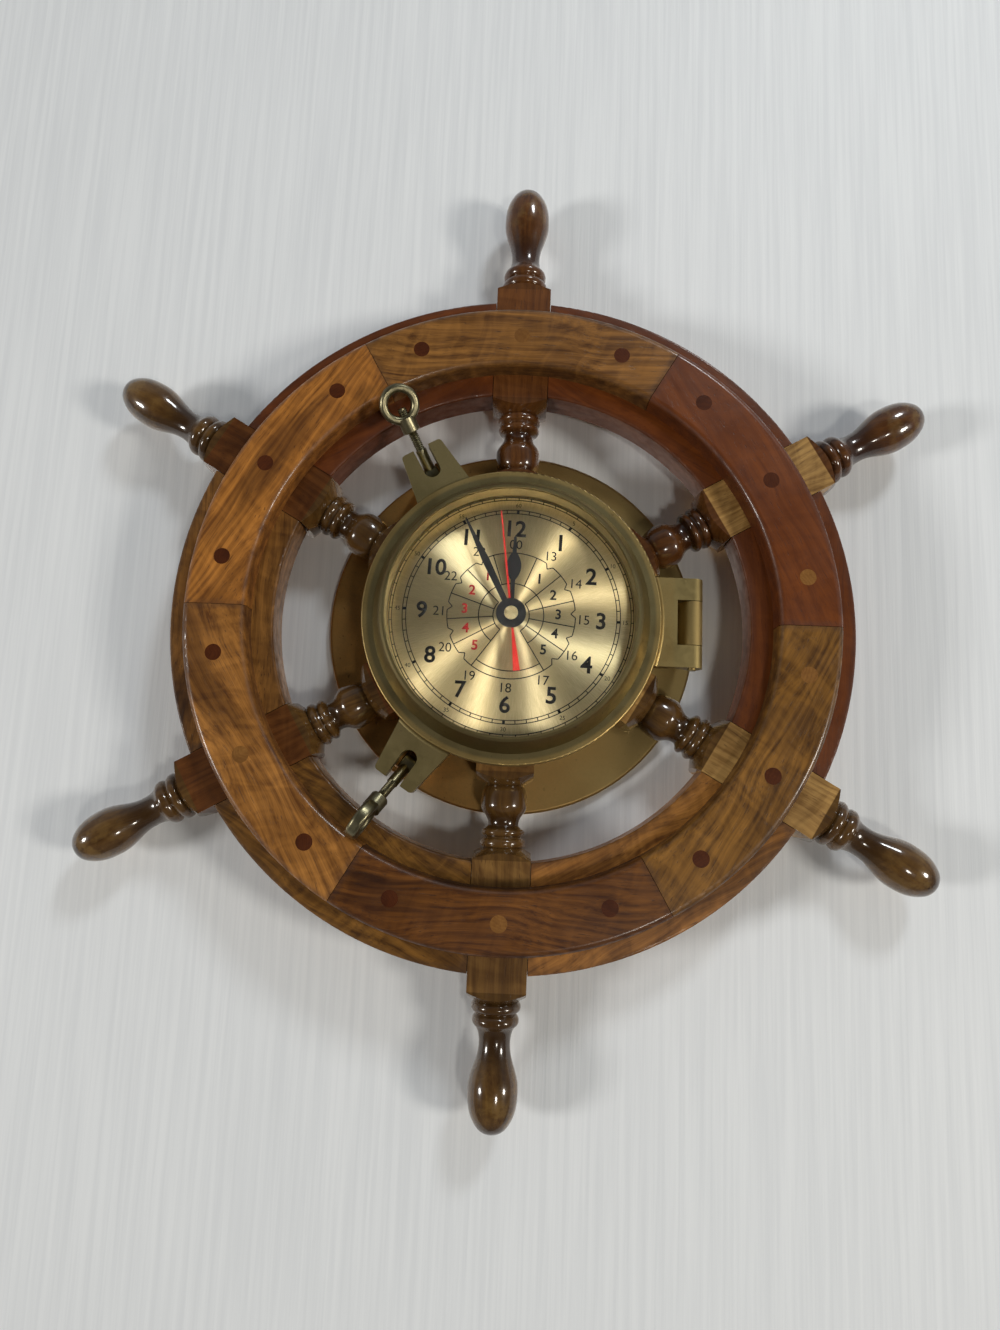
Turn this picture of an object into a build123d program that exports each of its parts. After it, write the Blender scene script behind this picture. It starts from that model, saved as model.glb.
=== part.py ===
from build123d import *
import os
from math import atan2, cos, degrees, hypot, pi, radians, sin, sqrt

# Ship's-wheel wall clock: a six-spoke wooden wheel around a brass porthole case with a hinged,
# glazed bezel, two swing bolts with eye nuts, and a quartz clock.
# Millimetres. +Z is up, -Y faces the viewer, and the wall is the plane Y = 0.
# The origin is on the wheel's axis at the wall. A height is a distance in front of the wall,
# a radius or station is a distance from the wheel's axis, and angles run clockwise from the top.

# Fits
fit_gap = 0.05
seat_gap = 0.02
joint_gap = 0.3
cut_overrun = 1.0

# Porthole case body
tube_bore_radius = 78.0
tube_wall = 7.0
tube_stand = 0.5
flange_width = 35.0
flange_thick = 6.0
flange_round = 2.0
flange_ledge = 8.0
gasket_thick = 1.2

# Bezel with its raised glass rim
bezel_lift = 0.3
bezel_bore_step = 2.0
bezel_ring_thick = 13.0
bezel_face_width = 7.0
bezel_edge_round = 1.0
glass_shelf = 3.8
glass_lap = 1.2
glass_thick = 2.5
rim_wall = 1.7
rim_slope_width = 6.1
rim_height = 15.5
rim_lip = 1.5
retainer_wall = 1.1
retainer_lift = 1.0

# Bezel lugs and hinge leaf
plate_thick = 9.0
plate_cove = 3.0
cove_sink = 0.15
plate_root_sink = 4.0
lug_reach = 31.0
lug_root_width = 37.0
lug_end_width = 27.0
lug_corner_round = 2.5
slot_width = 10.5
slot_run_in = 2.0
hinge_reach = 20.0
hinge_barrel_radius = 6.2
hinge_length = 55.0
hinge_middle_length = 27.0
hinge_end_gap = 0.4
hinge_slot_gap = 3.8
hinge_pin_radius = 2.5
hinge_pin_stand = 1.0
hinge_root_height = 16.0

# Swing bolts with eye nuts: the pivot's place at the bezel, then the eye's place from the pivot
upper_dog_angle = 330.0
lower_dog_angle = 213.0
dog_pivot_reach = 17.0
dog_pivot_drop = 8.0
dog_reach = 41.3
dog_rise = 27.0
ear_thick = 7.0
ear_boss_radius = 6.5
ear_gap = 8.6
ear_foot = 8.0
dog_pin_radius = 3.0
dog_eye_radius = 6.0
dog_eye_width = 7.6
dog_rod_radius = 3.5
thread_radius = 3.0
thread_length = 28.0
thread_pitch = 1.25
thread_depth = 0.55
nut_ring_radius = 12.5
nut_hole_radius = 7.3
nut_ring_thick = 7.5
nut_ring_round = 2.2
nut_boss_radius = 5.6
nut_boss_stand = 5.8
nut_boss_round = 0.8
nut_ring_wall = 1.5
stud_showing = 4.5

# Rim of the wheel, outward from the case flange
spoke_count = 6
rim_clearance = 28.5
inner_reveal = 13.5
facing_width = 38.5
outer_reveal = 12.5
back_ring_thick = 19.0
facing_thick = 15.0
facing_round = 4.0
felloe_round = 1.5
felloe_end_gap = 0.4

# Spokes, square stock turned between the square blocks
block_width = 35.0
turning_corner_radius = 26.0
block_inset = 1.5
block_overhang = 9.0
shoulder_length = 7.5
outer_bead_radius = 15.0
outer_bead_length = 6.4
outer_collar_radius = 14.1
outer_collar_length = 7.0
bead_groove = 1.2
bead_rise = 1.8
handle_neck_radius = 9.4
handle_neck_length = 9.9
handle_radius = 15.0
handle_swell_length = 26.5
handle_tip_length = 24.5
handle_crown_share = 0.73
inner_bead_radius = 14.0
inner_bead_length = 5.6
inner_collar_radius = 13.3
inner_collar_length = 4.6
inner_neck_radius = 9.4
inner_neck_length = 2.6
ball_radius = 14.3
ball_half_length = 11.5
ball_foot_radius = 11.5
end_block_length = 8.0
end_shoulder_length = 8.5

# Rim fasteners
plug_radius = 5.0
plug_depth = 6.0
plug_angle = 20.5
rim_screw_radius = 2.0
rim_screw_head_radius = 4.5
rim_screw_head = 3.0
rim_screw_cover = 6.0
back_screw_angle = 12.0
back_screw_recess = 4.0
back_screw_cover = 9.0
spoke_screw_inset = 5.7
spoke_screw_length = 18.0

# Keyhole hanger on the top back piece
hanger_length = 58.0
hanger_width = 26.0
hanger_thick = 2.0
hanger_corner_round = 2.5
hanger_hole_radius = 4.5
hanger_slot_radius = 2.5
hanger_slot_rise = 9.0
hanger_pocket_length = 22.0
hanger_pocket_width = 14.0
hanger_pocket_depth = 4.0
hanger_screw_spacing = 48.0
hanger_screw_radius = 1.75
hanger_screw_head_radius = 3.2
hanger_screw_head = 1.2
hanger_screw_length = 12.0

# Dial and the wooden spacer ring that carries it
dial_sink = 3.0
dial_thick = 1.0
dial_edge_gap = 0.8
dial_hole_gap = 0.1
spacer_gap = 0.3
spacer_wall = 6.7
spacer_screw_count = 3
spacer_screw_radius = 1.5
spacer_screw_head_radius = 2.75
spacer_screw_head = 2.0
spacer_screw_length = 14.0

# Quartz movement
case_depth = 16.0
case_wall = 1.6
case_top = 28.0
case_bottom = 29.0
case_corner_round = 2.5
bay_divider = 1.5
cover_thick = 1.5
cell_radius = 7.25
cell_length = 49.0
cell_button_radius = 2.75
cell_button = 1.5
cell_side_gap = 0.25
contact_thick = 0.5
contact_width = 8.0
spring_length = 2.22
bush_radius = 4.0
bush_stand = 3.0
bush_nut_width = 11.0
bush_nut_thick = 2.2
hour_pipe_radius = 2.6
minute_pipe_radius = 1.75
second_arbor_radius = 0.6

# Motion work: ten to thirty and eight to thirty-two, one module, one centre distance
gear_module = 0.5
minute_pinion_teeth = 10
motion_wheel_teeth = 30
motion_pinion_teeth = 8
hour_wheel_teeth = 32
gear_addendum_share = 0.7
gear_dedendum_share = 1.0
tooth_root_share = 0.42
tooth_tip_share = 0.24
tooth_half_pitch_share = 0.5
gear_thick = 1.2
pinion_thick = 2.0
gear_layer_gap = 0.6
pinion_overlap = 0.2
pivot_depth = 0.8
arbor_radius = 1.0
seconds_wheel_radius = 6.0
knob_radius = 8.0
knob_thick = 5.0
knob_stand = 1.0
knob_flutes = 18
knob_flute_radius = 0.7
coil_radius = 4.0
coil_length = 20.0
coil_inset = 8.9
coil_flange = 1.2
coil_flange_radius = 4.8
board_length = 22.0
board_width = 14.0
board_thick = 1.2
board_inset = 9.9
board_post = 8.6
board_post_radius = 1.5
board_post_spacing = 16.0
chip_width = 6.0
chip_thick = 1.2
crystal_width = 2.0

# Hands, which end short of the dial's edge
hour_hand_angle = 1.0
minute_hand_angle = -27.0
second_hand_angle = -7.5
hand_thick = 0.5
hand_step = 1.3
hand_lift = 0.6
hour_hand_margin = 29.2
hour_stem_width = 2.6
hour_spade_width = 9.0
hour_spade_share = 0.60
hour_spade_foot_share = 0.44
hour_spade_head_share = 0.80
hour_tip_width = 1.6
hour_hub_radius = 5.0
minute_hand_margin = 11.2
minute_root_width = 3.0
minute_waist_width = 4.6
minute_waist_share = 0.55
minute_tip_width = 0.9
minute_hub_radius = 4.5
second_hand_margin = 13.2
second_hand_width = 1.3
second_tip_width = 0.8
second_tail_length = 35.0
second_tail_width = 4.2
second_tail_neck_share = 0.3
hub_disc_radius = 9.0
hub_disc_thick = 0.8
hub_cap_radius = 4.2
hub_cap_thick = 1.0

# Radii of the case and the bezel, worked out from the tube's bore
tube_radius = tube_bore_radius + tube_wall
flange_radius = tube_radius + flange_width
case_opening_radius = tube_bore_radius - flange_ledge
bezel_bore_radius = tube_bore_radius + bezel_bore_step
glass_radius = bezel_bore_radius - glass_shelf
glass_opening_radius = glass_radius - glass_lap
rim_top_radius = glass_radius + rim_wall
bezel_face_inner_radius = rim_top_radius + rim_slope_width
bezel_radius = bezel_face_inner_radius + bezel_face_width
plate_root_radius = bezel_radius - plate_root_sink
lug_radius = bezel_radius + lug_reach
hinge_axis_radius = bezel_radius + hinge_reach
dog_pivot_radius = bezel_radius + dog_pivot_reach
slot_end_radius = dog_pivot_radius - slot_run_in
ear_foot_radius = dog_pivot_radius + ear_foot
ear_root_radius = tube_radius - cut_overrun
dial_radius = tube_bore_radius - dial_edge_gap
spacer_radius = tube_bore_radius - spacer_gap
spacer_screw_circle = spacer_radius - spacer_wall / 2
spacer_screw_depth = spacer_screw_head + spacer_screw_length - flange_thick

# Radii of the rim
spoke_step = 360 / spoke_count
half_step = spoke_step / 2
top_angle = 90.0
felloe_inner_radius = flange_radius + rim_clearance
facing_inner_radius = felloe_inner_radius + inner_reveal
facing_outer_radius = facing_inner_radius + facing_width
felloe_outer_radius = facing_outer_radius + outer_reveal
plug_circle = (facing_inner_radius + facing_outer_radius) / 2

# Heights of the wheel: the spokes stand on the case flange and the felloes are flush with them
block_back = flange_thick
felloe_back = back_ring_thick
felloe_front = block_back + block_width
felloe_thick = felloe_front - felloe_back
facing_front = felloe_front + facing_thick
spoke_height = block_back + block_width / 2
plug_floor = facing_front - plug_depth
screw_seat = plug_floor - rim_screw_head
rim_screw_foot = felloe_back + rim_screw_cover
rim_screw_length = screw_seat - rim_screw_foot
back_screw_length = felloe_front - back_screw_cover - back_screw_recess

# Heights of the case, the bezel and the swing bolts
ear_floor = flange_thick - cut_overrun
tube_front = felloe_front + tube_stand
gasket_front = tube_front + gasket_thick
bezel_back = gasket_front + bezel_lift
bezel_front = bezel_back + bezel_ring_thick
rim_front = bezel_front + rim_height
glass_front = rim_front - rim_lip
glass_back = glass_front - glass_thick
plate_back = bezel_back
plate_front = plate_back + plate_thick
hinge_height = plate_front - hinge_barrel_radius
dog_pivot_height = plate_back - dog_pivot_drop
dog_arm = hypot(dog_reach, dog_rise)
dog_tilt = degrees(atan2(dog_rise, dog_reach))

# Heights of the dial, the hands and the movement
dial_height = bezel_front - dial_sink
dial_back = dial_height - dial_thick
retainer_back = dial_height + retainer_lift
hour_hand_height = dial_height + bush_stand + hand_lift
minute_hand_height = hour_hand_height + hand_step
second_hand_height = minute_hand_height + hand_step
hour_hand_length = dial_radius - hour_hand_margin
minute_hand_length = dial_radius - minute_hand_margin
second_hand_length = dial_radius - second_hand_margin
case_back = dial_back - case_depth
cavity_front = dial_back - case_wall
cavity_width = cell_length + cell_button + spring_length + 2 * contact_thick + 4 * seat_gap
case_width = cavity_width + 2 * case_wall
coil_side = cavity_width / 2 - coil_inset
board_side = cavity_width / 2 - board_inset
gear_distance = gear_module * (minute_pinion_teeth + motion_wheel_teeth) / 2
bay_top = case_wall - case_bottom + 2 * (cell_radius + cell_side_gap)
cavity_bottom = bay_top + bay_divider
hour_wheel_height = cavity_front - gear_layer_gap - gear_thick
minute_pinion_height = hour_wheel_height - gear_layer_gap - pinion_thick
seconds_wheel_height = minute_pinion_height - gear_layer_gap - 2 * gear_thick

os.makedirs("parts", exist_ok=True)

# Radius along X and height in front of the wall, for turned pieces about the wheel's axis
section_plane = Plane(origin=(0, 0, 0), x_dir=(1, 0, 0), z_dir=(0, 0, -1))
# Radius along Z and height in front of the wall, for the swing-bolt ears at twelve o'clock
radial_plane = Plane(origin=(0, 0, 0), x_dir=(0, 0, 1), z_dir=(1, 0, 0))


def front_plane(height):
    """Plane parallel to the wall that faces the viewer."""
    return Plane.XZ.offset(height)


def back_plane(height):
    """Plane parallel to the wall that faces the wall."""
    return Plane(origin=(0, -height, 0), x_dir=(1, 0, 0), z_dir=(0, 1, 0))


def save(piece, name):
    """Label one finished piece and write its file."""
    piece.part.label = name
    export_step(piece.part, f"parts/{name}.step")


def turned_face(points):
    """Closed face through points of radius and height, for turning about the wheel's axis."""
    with BuildSketch(section_plane) as face:
        with BuildLine():
            Polyline(*points, close=True)
        make_face()
    return face.sketch


def sector_face(inner_radius, outer_radius, height, end_clear):
    """Face of one rim piece centred on twelve o'clock, its ends set in from the joint lines."""
    apex = end_clear / sin(radians(half_step))
    reach = 2 * outer_radius
    side = reach * sin(radians(half_step))
    rise = reach * cos(radians(half_step))
    with BuildSketch(front_plane(height)) as face:
        Circle(outer_radius)
        Circle(inner_radius, mode=Mode.SUBTRACT)
        with BuildLine():
            Polyline((0, apex), (side, apex + rise), (-side, apex + rise), close=True)
        make_face(mode=Mode.INTERSECT)
    return face.sketch


def copy_at(master, name, angle):
    """Write a copy of a master piece turned clockwise about the wheel's axis."""
    with BuildPart() as piece:
        add(master.part, rotation=(0, angle, 0))
    save(piece, name)


def screw(head_radius, head, shank_radius, length):
    """Pan-head screw at the current locations, its head's seat in their plane."""
    Cylinder(head_radius, head, align=(Align.CENTER, Align.CENTER, Align.MIN))
    Cylinder(shank_radius, length, align=(Align.CENTER, Align.CENTER, Align.MAX))


# Front facing of the rim
with BuildPart() as facing_master:
    extrude(sector_face(facing_inner_radius, facing_outer_radius, felloe_front, joint_gap / 2),
            amount=facing_thick)
    face_edges = facing_master.faces().sort_by(Axis.Y)[0].edges().filter_by(GeomType.CIRCLE)
    fillet(face_edges, radius=facing_round)
    with Locations(front_plane(facing_front)):
        with PolarLocations(plug_circle, 3, top_angle - plug_angle, 2 * plug_angle, endpoint=True):
            CounterBoreHole(rim_screw_radius + fit_gap, plug_radius + seat_gap,
                            plug_depth + rim_screw_head, facing_thick + cut_overrun)
for place in range(spoke_count):
    copy_at(facing_master, f"rim_facing_{place + 1}", place * spoke_step)

# Felloe blocks between the spokes
with BuildPart() as felloe_master:
    extrude(sector_face(felloe_inner_radius, felloe_outer_radius, felloe_back,
                        block_width / 2 + felloe_end_gap), amount=felloe_thick)
    face_edges = felloe_master.faces().sort_by(Axis.Y)[0].edges().filter_by(GeomType.CIRCLE)
    fillet(face_edges, radius=felloe_round)
    plug_inset = half_step - plug_angle
    with Locations(front_plane(felloe_front)):
        with PolarLocations(plug_circle, 2, top_angle - plug_inset, 2 * plug_inset, endpoint=True):
            Hole(rim_screw_radius + fit_gap, felloe_front - rim_screw_foot + joint_gap)
    back_inset = half_step - back_screw_angle
    with Locations(back_plane(felloe_back)):
        with PolarLocations(plug_circle, 2, -top_angle - back_inset, 2 * back_inset, endpoint=True):
            Hole(rim_screw_radius + fit_gap, felloe_thick - back_screw_cover + joint_gap)
for place in range(spoke_count):
    copy_at(felloe_master, f"felloe_{place + 1}", place * spoke_step + half_step)

# Spoke: stations outward along the spoke, radii about its own axis
spoke_start = tube_radius + joint_gap
block_start = felloe_inner_radius - block_inset
block_end = felloe_outer_radius + block_overhang
bead_start = block_end + shoulder_length
bead_end = bead_start + outer_bead_length
collar_start = bead_end + bead_groove
collar_end = collar_start + outer_collar_length
neck_station = collar_end + handle_neck_length
widest_station = neck_station + handle_swell_length
crown_station = widest_station + handle_tip_length * handle_crown_share
wheel_radius = widest_station + handle_tip_length
end_block_end = spoke_start + end_block_length
ball_start = end_block_end + end_shoulder_length
ball_middle = ball_start + ball_half_length
inner_bead_end = block_start - shoulder_length
inner_bead_start = inner_bead_end - inner_bead_length
inner_collar_end = inner_bead_start - bead_groove
inner_collar_start = inner_collar_end - inner_collar_length
inner_neck_station = inner_collar_start - inner_neck_length
spoke_screw_station = spoke_start + spoke_screw_inset


def bead(crown_radius, first, last):
    """Arc of one turned bead between two stations."""
    root = crown_radius - bead_rise
    ThreePointArc((root, first), (crown_radius, (first + last) / 2), (root, last))


with BuildPart() as spoke_master:
    with BuildSketch(front_plane(spoke_height)) as turning:
        with BuildLine():
            Polyline((0, spoke_start), (turning_corner_radius, spoke_start),
                     (turning_corner_radius, end_block_end), (ball_foot_radius, ball_start))
            Spline((ball_foot_radius, ball_start), (ball_radius, ball_middle),
                   tangents=((1, 1), (0, 1)))
            Spline((ball_radius, ball_middle), (inner_neck_radius, inner_neck_station),
                   tangents=((0, 1), (0, 1)))
            Spline((inner_neck_radius, inner_neck_station),
                   (inner_collar_radius - bead_rise, inner_collar_start), tangents=((0, 1), (1, 1)))
            bead(inner_collar_radius, inner_collar_start, inner_collar_end)
            Line((inner_collar_radius - bead_rise, inner_collar_end),
                 (inner_bead_radius - bead_rise, inner_bead_start))
            bead(inner_bead_radius, inner_bead_start, inner_bead_end)
            Polyline((inner_bead_radius - bead_rise, inner_bead_end), (turning_corner_radius, block_start),
                     (turning_corner_radius, block_end), (outer_bead_radius - bead_rise, bead_start))
            bead(outer_bead_radius, bead_start, bead_end)
            Line((outer_bead_radius - bead_rise, bead_end), (outer_collar_radius - bead_rise, collar_start))
            bead(outer_collar_radius, collar_start, collar_end)
            Spline((outer_collar_radius - bead_rise, collar_end), (handle_neck_radius, neck_station),
                   tangents=((-1, 1), (0, 1)))
            Spline((handle_neck_radius, neck_station), (handle_radius, widest_station),
                   tangents=((0, 1), (0, 1)))
            Spline((handle_radius, widest_station), (handle_radius * handle_crown_share, crown_station),
                   (0, wheel_radius), tangents=((0, 1), (-1, 0)))
            Line((0, wheel_radius), (0, spoke_start))
        make_face()
    revolve(axis=Axis((0, -spoke_height, 0), (0, 0, 1)))
    with Locations((0, -spoke_height, (spoke_start + wheel_radius) / 2)):
        Box(block_width, block_width, wheel_radius, mode=Mode.INTERSECT)
    with Locations(front_plane(felloe_front)):
        with Locations((0, plug_circle)):
            Hole(rim_screw_radius + fit_gap, felloe_front - rim_screw_foot + joint_gap)
    with Locations(back_plane(block_back)):
        with Locations((0, -spoke_screw_station)):
            Hole(rim_screw_radius + fit_gap, spoke_screw_length + joint_gap)
for place in range(spoke_count):
    copy_at(spoke_master, f"spoke_{place + 1}", place * spoke_step)

# Back ring, housed over the backs of the spoke blocks
with BuildPart() as back_piece:
    extrude(sector_face(facing_inner_radius, facing_outer_radius, 0, joint_gap / 2), amount=back_ring_thick)
    back_edges = back_piece.faces().sort_by(Axis.Y)[-1].edges().filter_by(GeomType.CIRCLE)
    fillet(back_edges, radius=facing_round)
    with BuildSketch(front_plane(block_back)):
        with Locations((0, plug_circle)):
            Rectangle(block_width + 2 * joint_gap, facing_outer_radius)
    extrude(amount=block_width, mode=Mode.SUBTRACT)
    with Locations(back_plane(0)):
        with PolarLocations(plug_circle, 2, -top_angle - back_screw_angle, 2 * back_screw_angle,
                            endpoint=True):
            CounterBoreHole(rim_screw_radius + fit_gap, rim_screw_head_radius + seat_gap,
                            back_screw_recess, back_ring_thick + cut_overrun)

with BuildPart() as top_back_piece:
    add(back_piece.part)
    with BuildSketch(front_plane(0)):
        with Locations((0, plug_circle)):
            RectangleRounded(hanger_length + 2 * seat_gap, hanger_width + 2 * seat_gap, hanger_corner_round)
    extrude(amount=hanger_thick, mode=Mode.SUBTRACT)
    with BuildSketch(front_plane(hanger_thick)):
        with Locations((0, plug_circle)):
            Rectangle(hanger_pocket_width, hanger_pocket_length)
    extrude(amount=hanger_pocket_depth, mode=Mode.SUBTRACT)
    with Locations(back_plane(hanger_thick)):
        with Locations((0, -plug_circle)):
            with GridLocations(hanger_screw_spacing, 0, 2, 1):
                Hole(hanger_screw_radius + fit_gap, hanger_screw_length + joint_gap)

with BuildPart() as back_ring:
    add(top_back_piece.part)
    for place in range(1, spoke_count):
        add(back_piece.part, rotation=(0, place * spoke_step, 0))
save(back_ring, "back_ring_pieces")

# Keyhole hanger plate, let in flush: a round hole below with a narrow slot rising from it
keyhole_station = plug_circle - hanger_slot_rise / 2
keyhole_neck = keyhole_station + sqrt(hanger_hole_radius ** 2 - hanger_slot_radius ** 2)
slot_station = keyhole_station + hanger_slot_rise
with BuildPart() as hanger_plate:
    with BuildSketch(front_plane(0)):
        with Locations((0, plug_circle)):
            RectangleRounded(hanger_length, hanger_width, hanger_corner_round)
        with BuildLine():
            ThreePointArc((-hanger_slot_radius, keyhole_neck), (0, keyhole_station - hanger_hole_radius),
                          (hanger_slot_radius, keyhole_neck))
            Line((hanger_slot_radius, keyhole_neck), (hanger_slot_radius, slot_station))
            ThreePointArc((hanger_slot_radius, slot_station), (0, slot_station + hanger_slot_radius),
                          (-hanger_slot_radius, slot_station))
            Line((-hanger_slot_radius, slot_station), (-hanger_slot_radius, keyhole_neck))
        make_face(mode=Mode.SUBTRACT)
    extrude(amount=hanger_thick)
    with Locations(back_plane(0)):
        with Locations((0, -plug_circle)):
            with GridLocations(hanger_screw_spacing, 0, 2, 1):
                CounterBoreHole(hanger_screw_radius + fit_gap, hanger_screw_head_radius + fit_gap,
                                hanger_screw_head, hanger_thick + cut_overrun)
save(hanger_plate, "hanger_plate")

with BuildPart() as hanger_screws:
    with Locations(back_plane(hanger_screw_head)):
        with Locations((0, -plug_circle)):
            with GridLocations(hanger_screw_spacing, 0, 2, 1):
                screw(hanger_screw_head_radius, hanger_screw_head, hanger_screw_radius, hanger_screw_length)
save(hanger_screws, "hanger_screws")

# Screws under the plugs, screws of the back ring, screws from the flange into the spokes
with BuildPart() as rim_screws:
    with Locations(front_plane(screw_seat)):
        for spread in (-plug_angle, 0, plug_angle):
            with PolarLocations(plug_circle, spoke_count, top_angle + spread):
                screw(rim_screw_head_radius, rim_screw_head, rim_screw_radius, rim_screw_length)
save(rim_screws, "rim_screws")

with BuildPart() as back_ring_screws:
    with Locations(back_plane(back_screw_recess)):
        for spread in (-back_screw_angle, back_screw_angle):
            with PolarLocations(plug_circle, spoke_count, top_angle + spread):
                screw(rim_screw_head_radius, rim_screw_head, rim_screw_radius, back_screw_length)
save(back_ring_screws, "back_ring_screws")

with BuildPart() as spoke_screws:
    with Locations(back_plane(rim_screw_head)):
        with PolarLocations(spoke_screw_station, spoke_count, top_angle):
            screw(rim_screw_head_radius, rim_screw_head, rim_screw_radius,
                  flange_thick - rim_screw_head + spoke_screw_length)
save(spoke_screws, "spoke_screws")

# Wooden plugs: three to a spoke, of which the one named here is light
light_plug_sides = ("middle", "right", "left", "middle", "middle", "none")
plug_sides = {"left": -1, "middle": 0, "right": 1}


def plug_group(light):
    """The light or the dark plugs, flush with the facing."""
    with BuildPart() as plugs:
        for spoke in range(spoke_count):
            for name, side in plug_sides.items():
                if (name == light_plug_sides[spoke]) == light:
                    angle = top_angle - spoke * spoke_step - side * plug_angle
                    with Locations(front_plane(plug_floor)):
                        with PolarLocations(plug_circle, 1, angle):
                            Cylinder(plug_radius, plug_depth, align=(Align.CENTER, Align.CENTER, Align.MIN))
    return plugs


save(plug_group(True), "rim_plugs_light")
save(plug_group(False), "rim_plugs_dark")

# Swing-bolt ears at twelve o'clock, copied to each bolt's place on the case body
with BuildPart() as ear_master:
    with BuildSketch(radial_plane.offset(-ear_gap / 2 - ear_thick)) as ear_outline:
        with BuildLine():
            Line((ear_root_radius, ear_floor), (ear_foot_radius, ear_floor))
            CenterArc((dog_pivot_radius, dog_pivot_height), ear_boss_radius, 0, 360)
        make_hull()
    extrude(amount=ear_gap + 2 * ear_thick)
    with Locations((0, -tube_front / 2, dog_pivot_radius)):
        Box(ear_gap, tube_front, 2 * (dog_pivot_radius - tube_radius), mode=Mode.SUBTRACT)
    with BuildSketch(radial_plane):
        with Locations((dog_pivot_radius, dog_pivot_height)):
            Circle(dog_pin_radius + seat_gap)
    extrude(amount=ear_gap + ear_thick, both=True, mode=Mode.SUBTRACT)

# Case body: flange, tube, ears and the middle hinge knuckle
with BuildPart() as case_body:
    revolve(turned_face([(case_opening_radius, 0), (flange_radius, 0), (flange_radius, flange_thick),
                         (tube_radius, flange_thick), (tube_radius, tube_front),
                         (tube_bore_radius, tube_front), (tube_bore_radius, flange_thick),
                         (case_opening_radius, flange_thick)]), axis=Axis.Y)
    flange_rim = case_body.edges().filter_by(GeomType.CIRCLE).sort_by(SortBy.RADIUS)[-2:]
    fillet(flange_rim.sort_by(Axis.Y)[0], radius=flange_round)
    add(ear_master.part, rotation=(0, upper_dog_angle, 0))
    add(ear_master.part, rotation=(0, lower_dog_angle, 0))
    with BuildSketch(section_plane.offset(-hinge_middle_length / 2)):
        with BuildLine():
            Line((ear_root_radius, ear_floor), (hinge_axis_radius, ear_floor))
            Line((ear_root_radius, ear_floor), (ear_root_radius, hinge_root_height))
            CenterArc((hinge_axis_radius, hinge_height), hinge_barrel_radius, 0, 360)
        make_hull()
    extrude(amount=hinge_middle_length)
    with Locations((hinge_axis_radius, -hinge_height, 0)):
        Cylinder(hinge_pin_radius + seat_gap, hinge_length, mode=Mode.SUBTRACT)
    with Locations(back_plane(0)):
        with PolarLocations(spoke_screw_station, spoke_count, top_angle):
            CounterBoreHole(rim_screw_radius + fit_gap, rim_screw_head_radius + fit_gap,
                            rim_screw_head, flange_thick + cut_overrun)
        with PolarLocations(spacer_screw_circle, spacer_screw_count, top_angle):
            CounterBoreHole(spacer_screw_radius + fit_gap, spacer_screw_head_radius + fit_gap,
                            spacer_screw_head, flange_thick + cut_overrun)
save(case_body, "case_body")

with BuildPart() as bezel_gasket:
    revolve(turned_face([(tube_bore_radius, tube_front), (tube_radius, tube_front),
                         (tube_radius, gasket_front), (tube_bore_radius, gasket_front)]), axis=Axis.Y)
save(bezel_gasket, "bezel_gasket")

# Hollow ring where the plates meet the bezel's side, cut to each plate's outline
with BuildPart() as cove_ring:
    with BuildSketch(section_plane):
        cove_radius = bezel_radius + plate_cove
        cove_front = plate_front + plate_cove
        cove_inner = bezel_radius - cut_overrun
        with BuildLine():
            Polyline((cove_inner, plate_back), (cove_radius, plate_back), (cove_radius, cove_front),
                     (cove_inner, cove_front), close=True)
        make_face()
        with Locations((cove_radius, cove_front)):
            Circle(plate_cove + cove_sink, mode=Mode.SUBTRACT)
    revolve(axis=Axis.Y)


def plate_with_cove(outline):
    """Plate of the bezel with the hollow at its root."""
    with BuildPart() as hollow:
        extrude(outline, amount=plate_thick + plate_cove)
        add(cove_ring.part, mode=Mode.INTERSECT)
    with BuildPart() as plate:
        extrude(outline, amount=plate_thick)
        add(hollow.part)
    return plate.part


# Lug at twelve o'clock, brazed to the bezel's side at each swing bolt's place
with BuildSketch(front_plane(plate_back)) as lug_outline:
    with BuildLine():
        Polyline((-lug_root_width / 2, plate_root_radius), (lug_root_width / 2, plate_root_radius),
                 (lug_end_width / 2, lug_radius), (-lug_end_width / 2, lug_radius), close=True)
    make_face()
    fillet(lug_outline.vertices().group_by(Axis.Y)[-1], radius=lug_corner_round)
    with Locations((0, slot_end_radius)):
        Circle(slot_width / 2, mode=Mode.SUBTRACT)
    with Locations((0, (slot_end_radius + lug_radius + cut_overrun) / 2)):
        Rectangle(slot_width, lug_radius + cut_overrun - slot_end_radius, mode=Mode.SUBTRACT)
with BuildPart() as lug_master:
    add(plate_with_cove(lug_outline.sketch))
    with BuildSketch(front_plane(plate_back)):
        Circle(bezel_radius + seat_gap)
    extrude(amount=plate_thick + plate_cove, mode=Mode.SUBTRACT)
copy_at(lug_master, "upper_bezel_lug", upper_dog_angle)
copy_at(lug_master, "lower_bezel_lug", lower_dog_angle)

# Hinge leaf at three o'clock
with BuildSketch(front_plane(plate_back)) as leaf_outline:
    with Locations(((plate_root_radius + hinge_axis_radius) / 2, 0)):
        Rectangle(hinge_axis_radius - plate_root_radius, hinge_length)
leaf = plate_with_cove(leaf_outline.sketch)

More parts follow.
